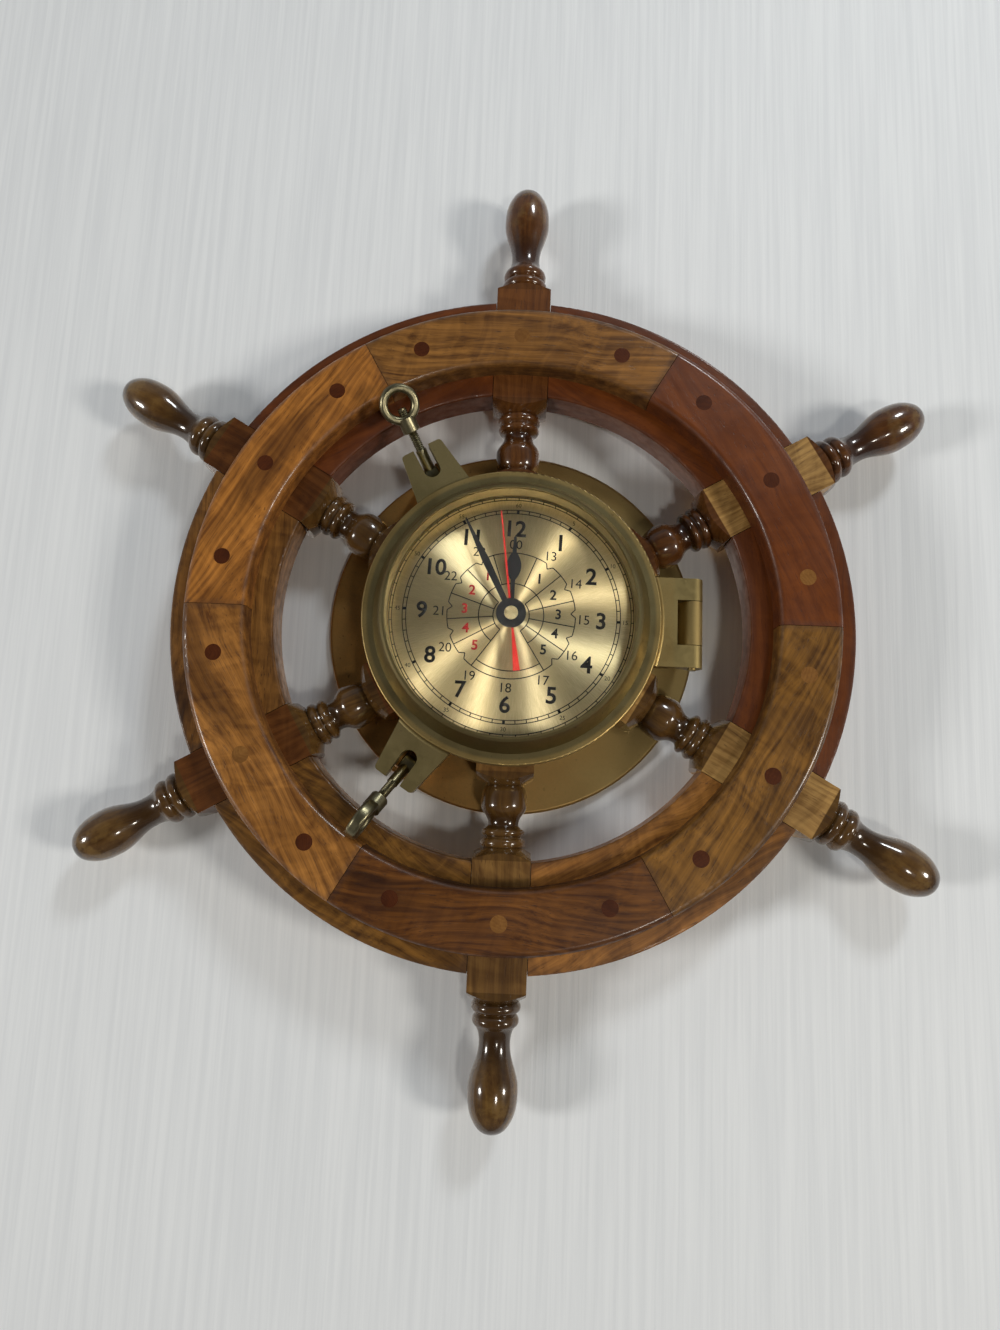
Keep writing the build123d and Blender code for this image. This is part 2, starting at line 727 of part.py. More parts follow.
# Bezel: flat ring, raised glass rim, hinge leaf and outer knuckles
knuckle_slot = hinge_middle_length + 2 * hinge_end_gap
leaf_slot_radius = hinge_axis_radius - hinge_barrel_radius - hinge_slot_gap
with BuildPart() as bezel:
    add(leaf)
    with Locations((hinge_axis_radius, -hinge_height, 0)):
        Cylinder(hinge_barrel_radius, hinge_length)
    with Locations((leaf_slot_radius + flange_radius / 2, -hinge_height, 0)):
        Box(flange_radius, bezel_radius, knuckle_slot, mode=Mode.SUBTRACT)
    with Locations((hinge_axis_radius, -hinge_height, 0)):
        Cylinder(hinge_pin_radius + fit_gap, hinge_length + cut_overrun, mode=Mode.SUBTRACT)
    revolve(turned_face([(bezel_bore_radius, bezel_back), (bezel_radius, bezel_back),
                         (bezel_radius, bezel_front), (bezel_face_inner_radius, bezel_front),
                         (rim_top_radius, glass_front), (rim_top_radius - rim_lip, rim_front),
                         (glass_opening_radius, rim_front), (glass_opening_radius, glass_front),
                         (glass_radius + fit_gap, glass_front), (glass_radius + fit_gap, retainer_back),
                         (bezel_bore_radius, retainer_back)]), axis=Axis.Y)
    ring_edge = bezel.faces().filter_by(GeomType.PLANE).filter_by(
        lambda face: abs(face.center().Y + bezel_front) < fit_gap).edges().sort_by(SortBy.RADIUS)[-1]
    fillet(ring_edge, radius=bezel_edge_round)
save(bezel, "bezel")

with BuildPart() as glass:
    with BuildSketch(front_plane(glass_back)):
        Circle(glass_radius)
    extrude(amount=glass_thick)
save(glass, "glass")

with BuildPart() as glass_retainer:
    with BuildSketch(front_plane(retainer_back)):
        Circle(glass_radius)
        Circle(glass_radius - retainer_wall, mode=Mode.SUBTRACT)
    extrude(amount=glass_back - retainer_back)
save(glass_retainer, "glass_retainer")

with BuildPart() as hinge_pin:
    with Locations((hinge_axis_radius, -hinge_height, 0)):
        Cylinder(hinge_pin_radius, hinge_length + 2 * hinge_pin_stand)
save(hinge_pin, "hinge_pin")

with BuildPart() as dog_pin_master:
    with BuildSketch(radial_plane):
        with Locations((dog_pivot_radius, dog_pivot_height)):
            Circle(dog_pin_radius)
    extrude(amount=ear_gap / 2 + ear_thick + hinge_pin_stand, both=True)

with BuildPart() as dog_pins:
    add(dog_pin_master.part, rotation=(0, upper_dog_angle, 0))
    add(dog_pin_master.part, rotation=(0, lower_dog_angle, 0))
save(dog_pins, "dog_pivot_pins")


def dog_plane(angle):
    """Plane at a bolt's pivot, X along its pin and Z along the bolt at rest."""
    outward = Vector(sin(radians(angle)), 0, cos(radians(angle)))
    forward = Vector(0, -1, 0)
    pin_axis = Vector(cos(radians(angle)), 0, -sin(radians(angle)))
    bolt_axis = outward * cos(radians(dog_tilt)) + forward * sin(radians(dog_tilt))
    pivot = outward * dog_pivot_radius + forward * dog_pivot_height
    return Plane(origin=pivot, x_dir=pin_axis, z_dir=bolt_axis)


def save_on_dog(master, name, angle, turn):
    """Write a copy of a master built along Z, turned on its own axis and set on a bolt's plane."""
    with BuildPart() as piece:
        with Locations(dog_plane(angle)):
            add(master.part, rotation=(0, 0, turn))
    save(piece, name)


# Swing bolt: eye, plain shank and grooved stud along Z
stud_end = dog_arm - nut_hole_radius + stud_showing
thread_start = stud_end - thread_length
thread_root_radius = thread_radius - thread_depth
grooves = []
for turn in range(int(thread_length / thread_pitch)):
    crest = thread_start + turn * thread_pitch
    grooves += [(thread_radius, crest), (thread_root_radius, crest + thread_pitch / 2)]
with BuildPart() as bolt_master:
    with BuildSketch(Plane.XZ):
        with BuildLine():
            Polyline((0, 0), (dog_rod_radius, 0), (dog_rod_radius, thread_start), *grooves,
                     (thread_root_radius, stud_end), (0, stud_end), close=True)
        make_face()
    revolve(axis=Axis.Z)
    with BuildSketch(Plane.YZ):
        Circle(dog_eye_radius)
    extrude(amount=dog_eye_width / 2, both=True)
    with BuildSketch(Plane.YZ):
        Circle(dog_pin_radius + fit_gap)
    extrude(amount=dog_eye_width, both=True, mode=Mode.SUBTRACT)
save_on_dog(bolt_master, "upper_swing_bolt", upper_dog_angle, 0)
save_on_dog(bolt_master, "lower_swing_bolt", lower_dog_angle, 0)

# Eye nut: ring in the XZ plane on a short boss bored for the stud
nut_boss_start = dog_arm - nut_ring_radius - nut_boss_stand
nut_boss_end = dog_arm - nut_hole_radius - nut_ring_wall
with BuildPart() as nut_master:
    with BuildSketch(Plane.XZ):
        with Locations((0, dog_arm)):
            Circle(nut_ring_radius)
            Circle(nut_hole_radius, mode=Mode.SUBTRACT)
    extrude(amount=nut_ring_thick / 2, both=True)
    fillet(nut_master.edges().filter_by(GeomType.CIRCLE), radius=nut_ring_round)
    with Locations((0, 0, nut_boss_start)):
        Cylinder(nut_boss_radius, nut_boss_end - nut_boss_start,
                 align=(Align.CENTER, Align.CENTER, Align.MIN))
        fillet(nut_master.edges().sort_by(Axis.Z)[0], radius=nut_boss_round)
        Cylinder(thread_radius + fit_gap, dog_arm - nut_boss_start,
                 align=(Align.CENTER, Align.CENTER, Align.MIN), mode=Mode.SUBTRACT)
save_on_dog(nut_master, "upper_eye_nut", upper_dog_angle, 0)
save_on_dog(nut_master, "lower_eye_nut", lower_dog_angle, top_angle)

# Spacer ring behind the dial, screwed to the flange's ledge from the back
with BuildPart() as dial_spacer:
    with BuildSketch(front_plane(flange_thick)):
        Circle(spacer_radius)
        Circle(spacer_radius - spacer_wall, mode=Mode.SUBTRACT)
    extrude(amount=dial_back - flange_thick)
    with Locations(back_plane(flange_thick)):
        with PolarLocations(spacer_screw_circle, spacer_screw_count, top_angle):
            Hole(spacer_screw_radius + fit_gap, spacer_screw_depth + joint_gap)
save(dial_spacer, "dial_spacer")

with BuildPart() as spacer_screws:
    with Locations(back_plane(spacer_screw_head)):
        with PolarLocations(spacer_screw_circle, spacer_screw_count, top_angle):
            screw(spacer_screw_head_radius, spacer_screw_head, spacer_screw_radius, spacer_screw_length)
save(spacer_screws, "spacer_screws")

with BuildPart() as dial_plate:
    with BuildSketch(front_plane(dial_back)):
        Circle(dial_radius)
        Circle(bush_radius + dial_hole_gap, mode=Mode.SUBTRACT)
    extrude(amount=dial_thick)
save(dial_plate, "dial_plate")

# Movement case with the threaded bush, the cell bay open at the back, and posts for the board
cavity_tall = case_top - case_wall - cavity_bottom
cavity_middle = cavity_bottom + cavity_tall / 2
bay_bottom = case_wall - case_bottom
cell_station = bay_top - cell_radius - cell_side_gap
cell_height = cavity_front - cell_radius - cell_side_gap
board_front = cavity_front - board_post
with BuildPart() as movement_case:
    with BuildSketch(front_plane(case_back)):
        with Locations((0, (case_top - case_bottom) / 2)):
            RectangleRounded(case_width, case_top + case_bottom, case_corner_round)
    extrude(amount=case_depth)
    with BuildSketch(front_plane(case_back)):
        with Locations((0, cavity_middle)):
            Rectangle(cavity_width, cavity_tall)
        with Locations((0, (bay_top + bay_bottom) / 2)):
            Rectangle(cavity_width, bay_top - bay_bottom)
    extrude(amount=case_depth - case_wall, mode=Mode.SUBTRACT)
    with BuildSketch(front_plane(dial_back)):
        Circle(bush_radius)
    extrude(amount=dial_thick + bush_stand)
    with BuildSketch(front_plane(cavity_front)):
        Circle(hour_pipe_radius + fit_gap)
    extrude(amount=case_depth, mode=Mode.SUBTRACT)
    with BuildSketch(front_plane(cavity_front)):
        with Locations((0, gear_distance)):
            Circle(arbor_radius + fit_gap)
    extrude(amount=pivot_depth, mode=Mode.SUBTRACT)
    with BuildSketch(front_plane(board_front)):
        with Locations((board_side, cavity_middle)):
            with GridLocations(0, board_post_spacing, 1, 2):
                Circle(board_post_radius)
    extrude(amount=board_post)
save(movement_case, "movement_case")

with BuildPart() as movement_cover:
    with BuildSketch(front_plane(case_back)):
        with Locations((0, cavity_middle)):
            Rectangle(cavity_width - 2 * seat_gap, cavity_tall - 2 * seat_gap)
        with Locations((0, gear_distance)):
            Circle(arbor_radius + fit_gap, mode=Mode.SUBTRACT)
        Circle(second_arbor_radius + fit_gap, mode=Mode.SUBTRACT)
    extrude(amount=cover_thick)
save(movement_cover, "movement_cover")

with BuildPart() as bush_nut:
    with BuildSketch(front_plane(dial_height)):
        RegularPolygon(bush_nut_width / 2, 6, major_radius=False)
        Circle(bush_radius + seat_gap, mode=Mode.SUBTRACT)
    extrude(amount=bush_nut_thick)
save(bush_nut, "bush_nut")


def gear_face(teeth, height, phase):
    """Toothed face on the wheel's axis, with its first tooth turned clockwise by a share of a pitch."""
    pitch_radius = gear_module * teeth / 2
    tip_radius = pitch_radius + gear_addendum_share * gear_module
    root_radius = pitch_radius - gear_dedendum_share * gear_module
    step = 2 * pi / teeth
    flank = ((root_radius, -tooth_root_share), (tip_radius, -tooth_tip_share),
             (tip_radius, tooth_tip_share), (root_radius, tooth_root_share))
    points = []
    for tooth in range(teeth):
        for radius, share in flank:
            angle = (tooth + phase + share / 2) * step
            points.append((radius * sin(angle), radius * cos(angle)))
    with BuildSketch(front_plane(height)) as face:
        with BuildLine():
            Polyline(*points, close=True)
        make_face()
    return face.sketch


# Minute arbor: a pipe with the cannon pinion on it
with BuildPart() as minute_arbor:
    extrude(gear_face(minute_pinion_teeth, minute_pinion_height, 0), amount=pinion_thick)
    with BuildSketch(front_plane(minute_pinion_height)):
        Circle(minute_pipe_radius)
    extrude(amount=minute_hand_height + hand_thick - minute_pinion_height)
    with BuildSketch(front_plane(minute_pinion_height)):
        Circle(second_arbor_radius + fit_gap)
    extrude(amount=minute_hand_height + hand_thick - minute_pinion_height, mode=Mode.SUBTRACT)
save(minute_arbor, "minute_arbor")

with BuildPart() as hour_wheel:
    extrude(gear_face(hour_wheel_teeth, hour_wheel_height, 0), amount=gear_thick)
    with BuildSketch(front_plane(hour_wheel_height)):
        Circle(hour_pipe_radius)
    extrude(amount=hour_hand_height + hand_thick - hour_wheel_height)
    with BuildSketch(front_plane(hour_wheel_height)):
        Circle(minute_pipe_radius + fit_gap)
    extrude(amount=hour_hand_height + hand_thick - hour_wheel_height, mode=Mode.SUBTRACT)
save(hour_wheel, "hour_wheel")

# Motion wheel and pinion on the setting arbor, above the wheel's axis
knob_front = case_back - knob_stand
knob_back = knob_front - knob_thick
motion_wheel_height = minute_pinion_height + (pinion_thick - gear_thick) / 2
motion_pinion_height = hour_wheel_height - pinion_overlap
with BuildPart() as motion_master:
    extrude(gear_face(motion_wheel_teeth, motion_wheel_height, tooth_half_pitch_share), amount=gear_thick)
    extrude(gear_face(motion_pinion_teeth, motion_pinion_height, tooth_half_pitch_share),
            amount=gear_thick + 2 * pinion_overlap)
    with BuildSketch(front_plane(knob_back + knob_stand)):
        Circle(arbor_radius)
    extrude(amount=cavity_front + pivot_depth - joint_gap - knob_back - knob_stand)
with BuildPart() as motion_wheel:
    with Locations((0, 0, gear_distance)):
        add(motion_master.part)
save(motion_wheel, "motion_wheel")

with BuildPart() as setting_knob:
    with BuildSketch(front_plane(knob_back)):
        with Locations((0, gear_distance)):
            Circle(knob_radius)
            with PolarLocations(knob_radius, knob_flutes):
                Circle(knob_flute_radius, mode=Mode.SUBTRACT)
    extrude(amount=knob_thick)
    with BuildSketch(front_plane(knob_back + knob_stand)):
        with Locations((0, gear_distance)):
            Circle(arbor_radius + seat_gap)
    extrude(amount=knob_thick, mode=Mode.SUBTRACT)
save(setting_knob, "setting_knob")

disc_height = second_hand_height + hand_thick
with BuildPart() as seconds_arbor:
    with BuildSketch(front_plane(case_back + joint_gap)):
        Circle(second_arbor_radius)
    extrude(amount=disc_height + hub_disc_thick - case_back - joint_gap)
    with BuildSketch(front_plane(seconds_wheel_height)):
        Circle(seconds_wheel_radius)
    extrude(amount=gear_thick)
save(seconds_arbor, "seconds_arbor")

with BuildPart() as coil:
    with Locations((-coil_side, coil_flange_radius + seat_gap - cavity_front, cavity_middle)):
        Cylinder(coil_flange_radius, coil_length + 2 * coil_flange)
        Cylinder(coil_flange_radius + cut_overrun, coil_length, mode=Mode.SUBTRACT)
        Cylinder(coil_radius, coil_length)
save(coil, "coil")

with BuildPart() as circuit_board:
    with BuildSketch(front_plane(board_front - board_thick)):
        with Locations((board_side, cavity_middle)):
            Rectangle(board_width, board_length)
    extrude(amount=board_thick)
    with BuildSketch(front_plane(board_front - board_thick)):
        with Locations((board_side, cavity_middle + board_length / 4)):
            Rectangle(chip_width, chip_width)
    extrude(amount=-chip_thick)
    with BuildSketch(front_plane(board_front - board_thick)):
        with Locations((board_side, cavity_middle - board_length / 4)):
            SlotOverall(chip_width, crystal_width, rotation=top_angle)
    extrude(amount=-crystal_width)
save(circuit_board, "circuit_board")

# Cell along X in its bay, its button on the right against a plain contact, a coil spring on the left
contact_face = cavity_width / 2 - seat_gap - contact_thick
cell_end = contact_face - seat_gap
cell_shoulder = cell_end - cell_button
cell_start = cell_shoulder - cell_length


def cell_plane(station):
    """Plane across the cell's axis at a station along it."""
    return Plane(origin=(station, -cell_height, cell_station), x_dir=(0, 0, 1), z_dir=(1, 0, 0))


with BuildPart() as battery:
    with BuildSketch(cell_plane(cell_start)):
        Circle(cell_radius)
    extrude(amount=cell_length)
    with BuildSketch(cell_plane(cell_shoulder)):
        Circle(cell_button_radius)
    extrude(amount=cell_button)
save(battery, "battery")

with BuildPart() as battery_contacts:
    with BuildSketch(cell_plane(contact_face)):
        Rectangle(contact_width, contact_width)
    extrude(amount=contact_thick)
    with BuildSketch(cell_plane(-contact_face)):
        Rectangle(contact_width, contact_width)
    extrude(amount=-contact_thick)
    with BuildSketch(cell_plane(-contact_face)):
        Circle(cell_button_radius)
    extrude(amount=spring_length)
save(battery_contacts, "battery_contacts")

# Hands, drawn at twelve o'clock and turned to their places
with BuildPart() as hour_hand:
    half_stem = hour_stem_width / 2
    half_tip = hour_tip_width / 2
    spade_foot = hour_hand_length * hour_spade_foot_share
    spade_middle = hour_hand_length * hour_spade_share
    spade_head = hour_hand_length * hour_spade_head_share
    with BuildSketch(front_plane(hour_hand_height)):
        with BuildLine():
            Polyline((0, 0), (half_stem, 0), (half_stem, spade_foot))
            Spline((half_stem, spade_foot), (hour_spade_width / 2, spade_middle), (half_stem, spade_head))
            Polyline((half_stem, spade_head), (half_tip, hour_hand_length), (0, hour_hand_length), (0, 0))
        make_face()
        mirror(about=Plane.YZ)
        Circle(hour_hub_radius)
        Circle(hour_pipe_radius + seat_gap, mode=Mode.SUBTRACT)
    extrude(amount=hand_thick)
copy_at(hour_hand, "hour_hand", hour_hand_angle)

with BuildPart() as minute_hand:
    half_root = minute_root_width / 2
    half_waist = minute_waist_width / 2
    half_tip = minute_tip_width / 2
    waist = minute_hand_length * minute_waist_share
    with BuildSketch(front_plane(minute_hand_height)):
        with BuildLine():
            Polyline((-half_root, 0), (half_root, 0), (half_waist, waist), (half_tip, minute_hand_length),
                     (-half_tip, minute_hand_length), (-half_waist, waist), close=True)
        make_face()
        Circle(minute_hub_radius)
        Circle(minute_pipe_radius + seat_gap, mode=Mode.SUBTRACT)
    extrude(amount=hand_thick)
copy_at(minute_hand, "minute_hand", minute_hand_angle)

with BuildPart() as second_hand:
    half_width = second_hand_width / 2
    half_tip = second_tip_width / 2
    half_tail = second_tail_width / 2
    tail_neck = -second_tail_length * second_tail_neck_share
    with BuildSketch(front_plane(second_hand_height)):
        with BuildLine():
            Polyline((half_width, 0), (half_tip, second_hand_length), (-half_tip, second_hand_length),
                     (-half_width, 0), (-half_width, tail_neck), (-half_tail, -second_tail_length),
                     (half_tail, -second_tail_length), (half_width, tail_neck), close=True)
        make_face()
        Circle(minute_hub_radius)
        Circle(second_arbor_radius + seat_gap, mode=Mode.SUBTRACT)
    extrude(amount=hand_thick)
copy_at(second_hand, "second_hand", second_hand_angle)

with BuildPart() as hub_disc:
    with BuildSketch(front_plane(disc_height)):
        Circle(hub_disc_radius)
        Circle(second_arbor_radius + seat_gap, mode=Mode.SUBTRACT)
    extrude(amount=hub_disc_thick)
save(hub_disc, "hub_disc")

with BuildPart() as hub_cap:
    with BuildSketch(front_plane(disc_height + hub_disc_thick)):
        Circle(hub_cap_radius)
    extrude(amount=hub_cap_thick)
    fillet(hub_cap.faces().sort_by(Axis.Y)[0].edges(), radius=hub_cap_thick / 2)
save(hub_cap, "hub_cap")
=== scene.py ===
"""Looks of a ship's-wheel wall clock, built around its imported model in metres."""
import logging
import math
from dataclasses import dataclass
from enum import Enum

import bpy
from mathutils import Euler, Matrix, Vector


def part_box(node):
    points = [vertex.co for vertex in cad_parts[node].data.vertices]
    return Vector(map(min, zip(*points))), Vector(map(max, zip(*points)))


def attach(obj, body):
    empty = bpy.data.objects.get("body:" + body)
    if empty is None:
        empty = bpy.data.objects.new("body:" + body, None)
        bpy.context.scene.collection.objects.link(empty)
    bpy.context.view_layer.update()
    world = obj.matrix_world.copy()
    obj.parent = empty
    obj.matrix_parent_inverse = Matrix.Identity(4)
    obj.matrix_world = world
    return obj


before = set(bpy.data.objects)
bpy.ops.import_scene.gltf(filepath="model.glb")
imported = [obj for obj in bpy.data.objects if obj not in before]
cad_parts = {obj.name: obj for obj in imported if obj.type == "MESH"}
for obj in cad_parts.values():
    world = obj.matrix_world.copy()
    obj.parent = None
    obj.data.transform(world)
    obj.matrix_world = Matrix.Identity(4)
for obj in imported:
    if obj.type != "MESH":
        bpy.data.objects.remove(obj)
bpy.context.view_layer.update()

LOG = logging.getLogger("wheel_clock")
MM = 0.001
ROOT = "wheel_and_case"
FULL_TURN = 360
QUARTER_TURN = 90
SPOKES = 6
STEP = FULL_TURN / SPOKES
HOURS = 12
MINUTES = 60
HOUR_STEP = FULL_TURN / HOURS
EVEN = (1.0, 1.0, 1.0)
Colour = tuple[float, float, float]
Point = tuple[float, float, float]
Socket = bpy.types.NodeSocket


class Group(Enum):
    """Shader node groups that several finishes share."""

    WOOD = "wood_grain"
    EDGES = "edge_darkening"
    METAL = "aged_metal"
    GRAIN = "fine_grain"


@dataclass(frozen=True)
class Layer:
    """One noise pattern.

    The scale is in cycles per metre, as a number or a socket. Detail is in octaves, rough is how strong
    the small ones are, and distort is how far the pattern is bent.
    """

    scale: object
    detail: float = 3.0
    rough: float = 0.5
    distort: float = 0.0
    stretch: Point = EVEN


@dataclass(frozen=True)
class Band:
    """A range between two numbers or sockets, and what its two ends become."""

    low: object
    high: object
    to_low: float = 0.0
    to_high: float = 1.0


class NodePen:
    """Adds and joins nodes in one node tree."""

    mix_first = 6
    mix_second = 7
    mix_result = 2

    def __init__(self, tree: bpy.types.NodeTree) -> None:
        """Keep the tree that is drawn in.

        Args:
            tree: the node tree of a material or a group.
        """
        self.tree = tree

    def add(self, kind: str, values: dict[str | int, object] | None = None,
            **settings: object) -> bpy.types.Node:
        """Add one node and set or link its inputs.

        Args:
            kind: the node's type name without its prefix.
            values: input name or index to a value, or to the socket that feeds it.
            settings: properties of the node itself.

        Returns:
            The new node.
        """
        prefix = "NodeGroup" if kind in ("Input", "Output") else "ShaderNode"
        node = self.tree.nodes.new(prefix + kind)
        for name, value in settings.items():
            setattr(node, name, value)
        for key, value in (values or {}).items():
            self.feed(node.inputs[key], value)
        return node

    def feed(self, socket: Socket, value: object) -> None:
        """Set an input, or link it where the value is a socket.

        Args:
            socket: the input.
            value: a number, a colour, a vector or an output socket.
        """
        if isinstance(value, Socket):
            self.tree.links.new(value, socket)
        elif socket.type == "RGBA" and len(value) == 3:
            socket.default_value = (*value, 1.0)
        else:
            socket.default_value = value

    def math(self, operation: str, first: object, second: object = 0.0) -> Socket:
        """Join two values by one sum.

        Args:
            operation: the Math node's operation.
            first: a number or a socket.
            second: a number or a socket.

        Returns:
            The result's socket.
        """
        return self.add("Math", {0: first, 1: second}, operation=operation).outputs[0]

    def clamp(self, value: Socket) -> Socket:
        """Hold a value between 0 and 1."""
        return self.add("Clamp", {"Value": value}).outputs[0]

    def noise(self, vector: Socket, layer: Layer) -> Socket:
        """Add a noise texture.

        Args:
            vector: the coordinates.
            layer: the pattern.

        Returns:
            The value's socket.
        """
        if layer.stretch != EVEN:
            vector = self.stretch(vector, layer.stretch)
        node = self.add("TexNoise", {"Vector": vector, "Scale": layer.scale, "Detail": layer.detail,
                                     "Roughness": layer.rough, "Distortion": layer.distort})
        return node.outputs["Fac"]

    def spread(self, value: Socket, band: Band) -> Socket:
        """Map a range of a value smoothly to another range, held at its ends.

        Args:
            value: what is mapped.
            band: the range, and what its ends become.

        Returns:
            The mapped socket.
        """
        node = self.add("MapRange", {"Value": value, "From Min": band.low, "From Max": band.high,
                                     "To Min": band.to_low, "To Max": band.to_high},
                        interpolation_type="SMOOTHSTEP")
        return node.outputs["Result"]

    def mix(self, share: object, first: object, second: object) -> Socket:
        """Mix two colours.

        Args:
            share: how much of the second, a number or a socket.
            first: a colour or a socket.
            second: a colour or a socket.

        Returns:
            The mixed colour's socket.
        """
        node = self.add("Mix", data_type="RGBA")
        self.feed(node.inputs[0], share)
        self.feed(node.inputs[self.mix_first], first)
        self.feed(node.inputs[self.mix_second], second)
        return node.outputs[self.mix_result]

    def stretch(self, vector: Socket, scale: Point) -> Socket:
        """Stretch coordinates along their axes.

        Args:
            vector: the coordinates.
            scale: factor on each axis.

        Returns:
            The stretched vector's socket.
        """
        return self.add("Mapping", {"Vector": vector, "Scale": scale}).outputs["Vector"]

    def reach(self, vector: Socket) -> Socket:
        """Distance from the wheel's axis."""
        flat = self.stretch(vector, (1.0, 0.0, 1.0))
        return self.add("VectorMath", {0: flat}, operation="LENGTH").outputs["Value"]


SURFACE = {"Color": "NodeSocketColor", "Roughness": "NodeSocketFloat", "Height": "NodeSocketFloat"}


def open_group(name: str, colours: tuple[str, ...], values: tuple[str, ...],
               results: dict[str, str]) -> tuple[NodePen, bpy.types.bpy_prop_collection]:
    """Make an empty group with its sockets.

    Args:
        name: the group's name.
        colours: names of the colour inputs.
        values: names of the number inputs.
        results: names and socket types of the outputs.

    Returns:
        The pen for the group, and the sockets of its inputs.
    """
    tree = bpy.data.node_groups.new(name, "ShaderNodeTree")
    tree.interface.new_socket("Vector", in_out="INPUT", socket_type="NodeSocketVector")
    for label in colours:
        tree.interface.new_socket(label, in_out="INPUT", socket_type="NodeSocketColor")
    for label in values:
        tree.interface.new_socket(label, in_out="INPUT", socket_type="NodeSocketFloat")
    for label, kind in results.items():
        tree.interface.new_socket(label, in_out="OUTPUT", socket_type=kind)
    pen = NodePen(tree)
    return pen, pen.add("Input").outputs


@dataclass(frozen=True)
class WoodGrain:
    """Grain along X: growth rings, dark streaks, fibres, pores, curl and a rubbed varnish."""

    drift: Layer = Layer(20.0, 2.0, stretch=(0.3, 1.0, 1.0))
    drift_middle: float = 0.5
    drift_reach: float = 0.055
    ring_stretch: Point = (0.03, 1.0, 1.0)
    ring_bend: float = 5.5
    ring_detail: float = 3.0
    ring_detail_scale: float = 0.8
    ring_detail_rough: float = 0.6
    ring_share: float = 0.28
    fibres: Layer = Layer(1000.0, 3.0, 0.62, stretch=(0.022, 1.0, 1.0))
    fibre_band: Band = Band(0.3, 0.7, 0.0, 0.3)
    fibre_rough: float = 0.1
    fibre_height: float = 0.3
    strands: Layer = Layer(260.0, 3.0, 0.6, stretch=(0.03, 1.0, 1.0))
    strand_band: Band = Band(0.3, 0.7, 0.0, 0.42)
    pores: Layer = Layer(1500.0, 1.0, stretch=(0.06, 1.0, 1.0))
    pore_band: Band = Band(0.66, 0.73)
    pore_dark_share: float = 0.55
    pore_rough: float = 0.12
    curl_turn: Point = (0.0, 0.35, 0.0)
    curl_stretch: Point = (1.0, 4.0, 3.0)
    curl: Layer = Layer(75.0, 2.0, 0.5, 1.6)
    curl_band: Band = Band(0.32, 0.7, -0.35, 0.35)
    heart: Layer = Layer(46.0, 3.0, 0.55, stretch=(0.1, 1.0, 1.0))
    heart_band: Band = Band(0.5, 0.68)
    cloud: Layer = Layer(16.0, 2.0)
    cloud_band: Band = Band(0.45, 0.75, 0.0, 0.35)
    rubbed: Layer = Layer(34.0, 4.0, 0.6)
    rubbed_band: Band = Band(0.35, 0.7, 0.0, 0.09)

    def build(self, name: str) -> bpy.types.NodeTree:
        """Build the group.

        Args:
            name: the group's name.

        Returns:
            The group's tree.
        """
        pen, out = open_group(name, ("Light", "Dark", "Deep"), ("Rings", "Figure", "Streaks", "Gloss"),
                              SURFACE)
        sway = pen.math("SUBTRACT", pen.noise(out["Vector"], self.drift), self.drift_middle)
        sway = pen.math("MULTIPLY", sway, self.drift_reach)
        shift = pen.add("CombineXYZ", {"Y": sway, "Z": sway}).outputs[0]
        line = pen.add("VectorMath", {0: out["Vector"], 1: shift}, operation="ADD").outputs[0]
        fibres = pen.noise(line, self.fibres)
        pores = pen.spread(pen.noise(line, self.pores), self.pore_band)
        colour = pen.mix(self._tone(pen, line, fibres, out), out["Light"], out["Dark"])
        heart = pen.spread(pen.noise(line, self.heart), self.heart_band)
        colour = pen.mix(pen.math("MULTIPLY", heart, out["Streaks"]), colour, out["Deep"])
        cloud = pen.noise(out["Vector"], self.cloud)
        colour = pen.mix(pen.spread(cloud, self.cloud_band), colour, out["Dark"])
        colour = pen.mix(pen.math("MULTIPLY", pores, self.pore_dark_share), colour, out["Deep"])
        rubbed = pen.spread(pen.noise(out["Vector"], self.rubbed), self.rubbed_band)
        rough = pen.math("ADD", out["Gloss"], rubbed)
        rough = pen.math("ADD", rough, pen.math("MULTIPLY", fibres, self.fibre_rough))
        rough = pen.math("ADD", rough, pen.math("MULTIPLY", pores, self.pore_rough))
        height = pen.math("SUBTRACT", pen.math("MULTIPLY", fibres, self.fibre_height), pores)
        pen.add("Output", {"Color": colour, "Roughness": rough, "Height": height})
        return pen.tree

    def _tone(self, pen: NodePen, line: Socket, fibres: Socket,
              out: bpy.types.bpy_prop_collection) -> Socket:
        """Join the rings, strands, fibres and curl to one share of the dark colour.

        Args:
            pen: the group's pen.
            line: coordinates that drift with the grain.
            fibres: the fine fibres.
            out: the group's inputs.

        Returns:
            The share's socket.
        """
        wave = pen.add("TexWave", {"Vector": pen.stretch(line, self.ring_stretch), "Scale": out["Rings"],
                                   "Distortion": self.ring_bend, "Detail": self.ring_detail,
                                   "Detail Scale": self.ring_detail_scale,
                                   "Detail Roughness": self.ring_detail_rough},
                       wave_type="RINGS", rings_direction="X")
        tone = pen.math("MULTIPLY", wave.outputs["Fac"], self.ring_share)
        tone = pen.math("ADD", tone, pen.spread(pen.noise(line, self.strands), self.strand_band))
        tone = pen.math("ADD", tone, pen.spread(fibres, self.fibre_band))
        across = pen.add("Mapping", {"Vector": line, "Rotation": self.curl_turn,
                                     "Scale": self.curl_stretch}, vector_type="TEXTURE").outputs[0]
        curl = pen.spread(pen.noise(across, self.curl), self.curl_band)
        return pen.clamp(pen.math("SUBTRACT", tone, pen.math("MULTIPLY", curl, out["Figure"])))


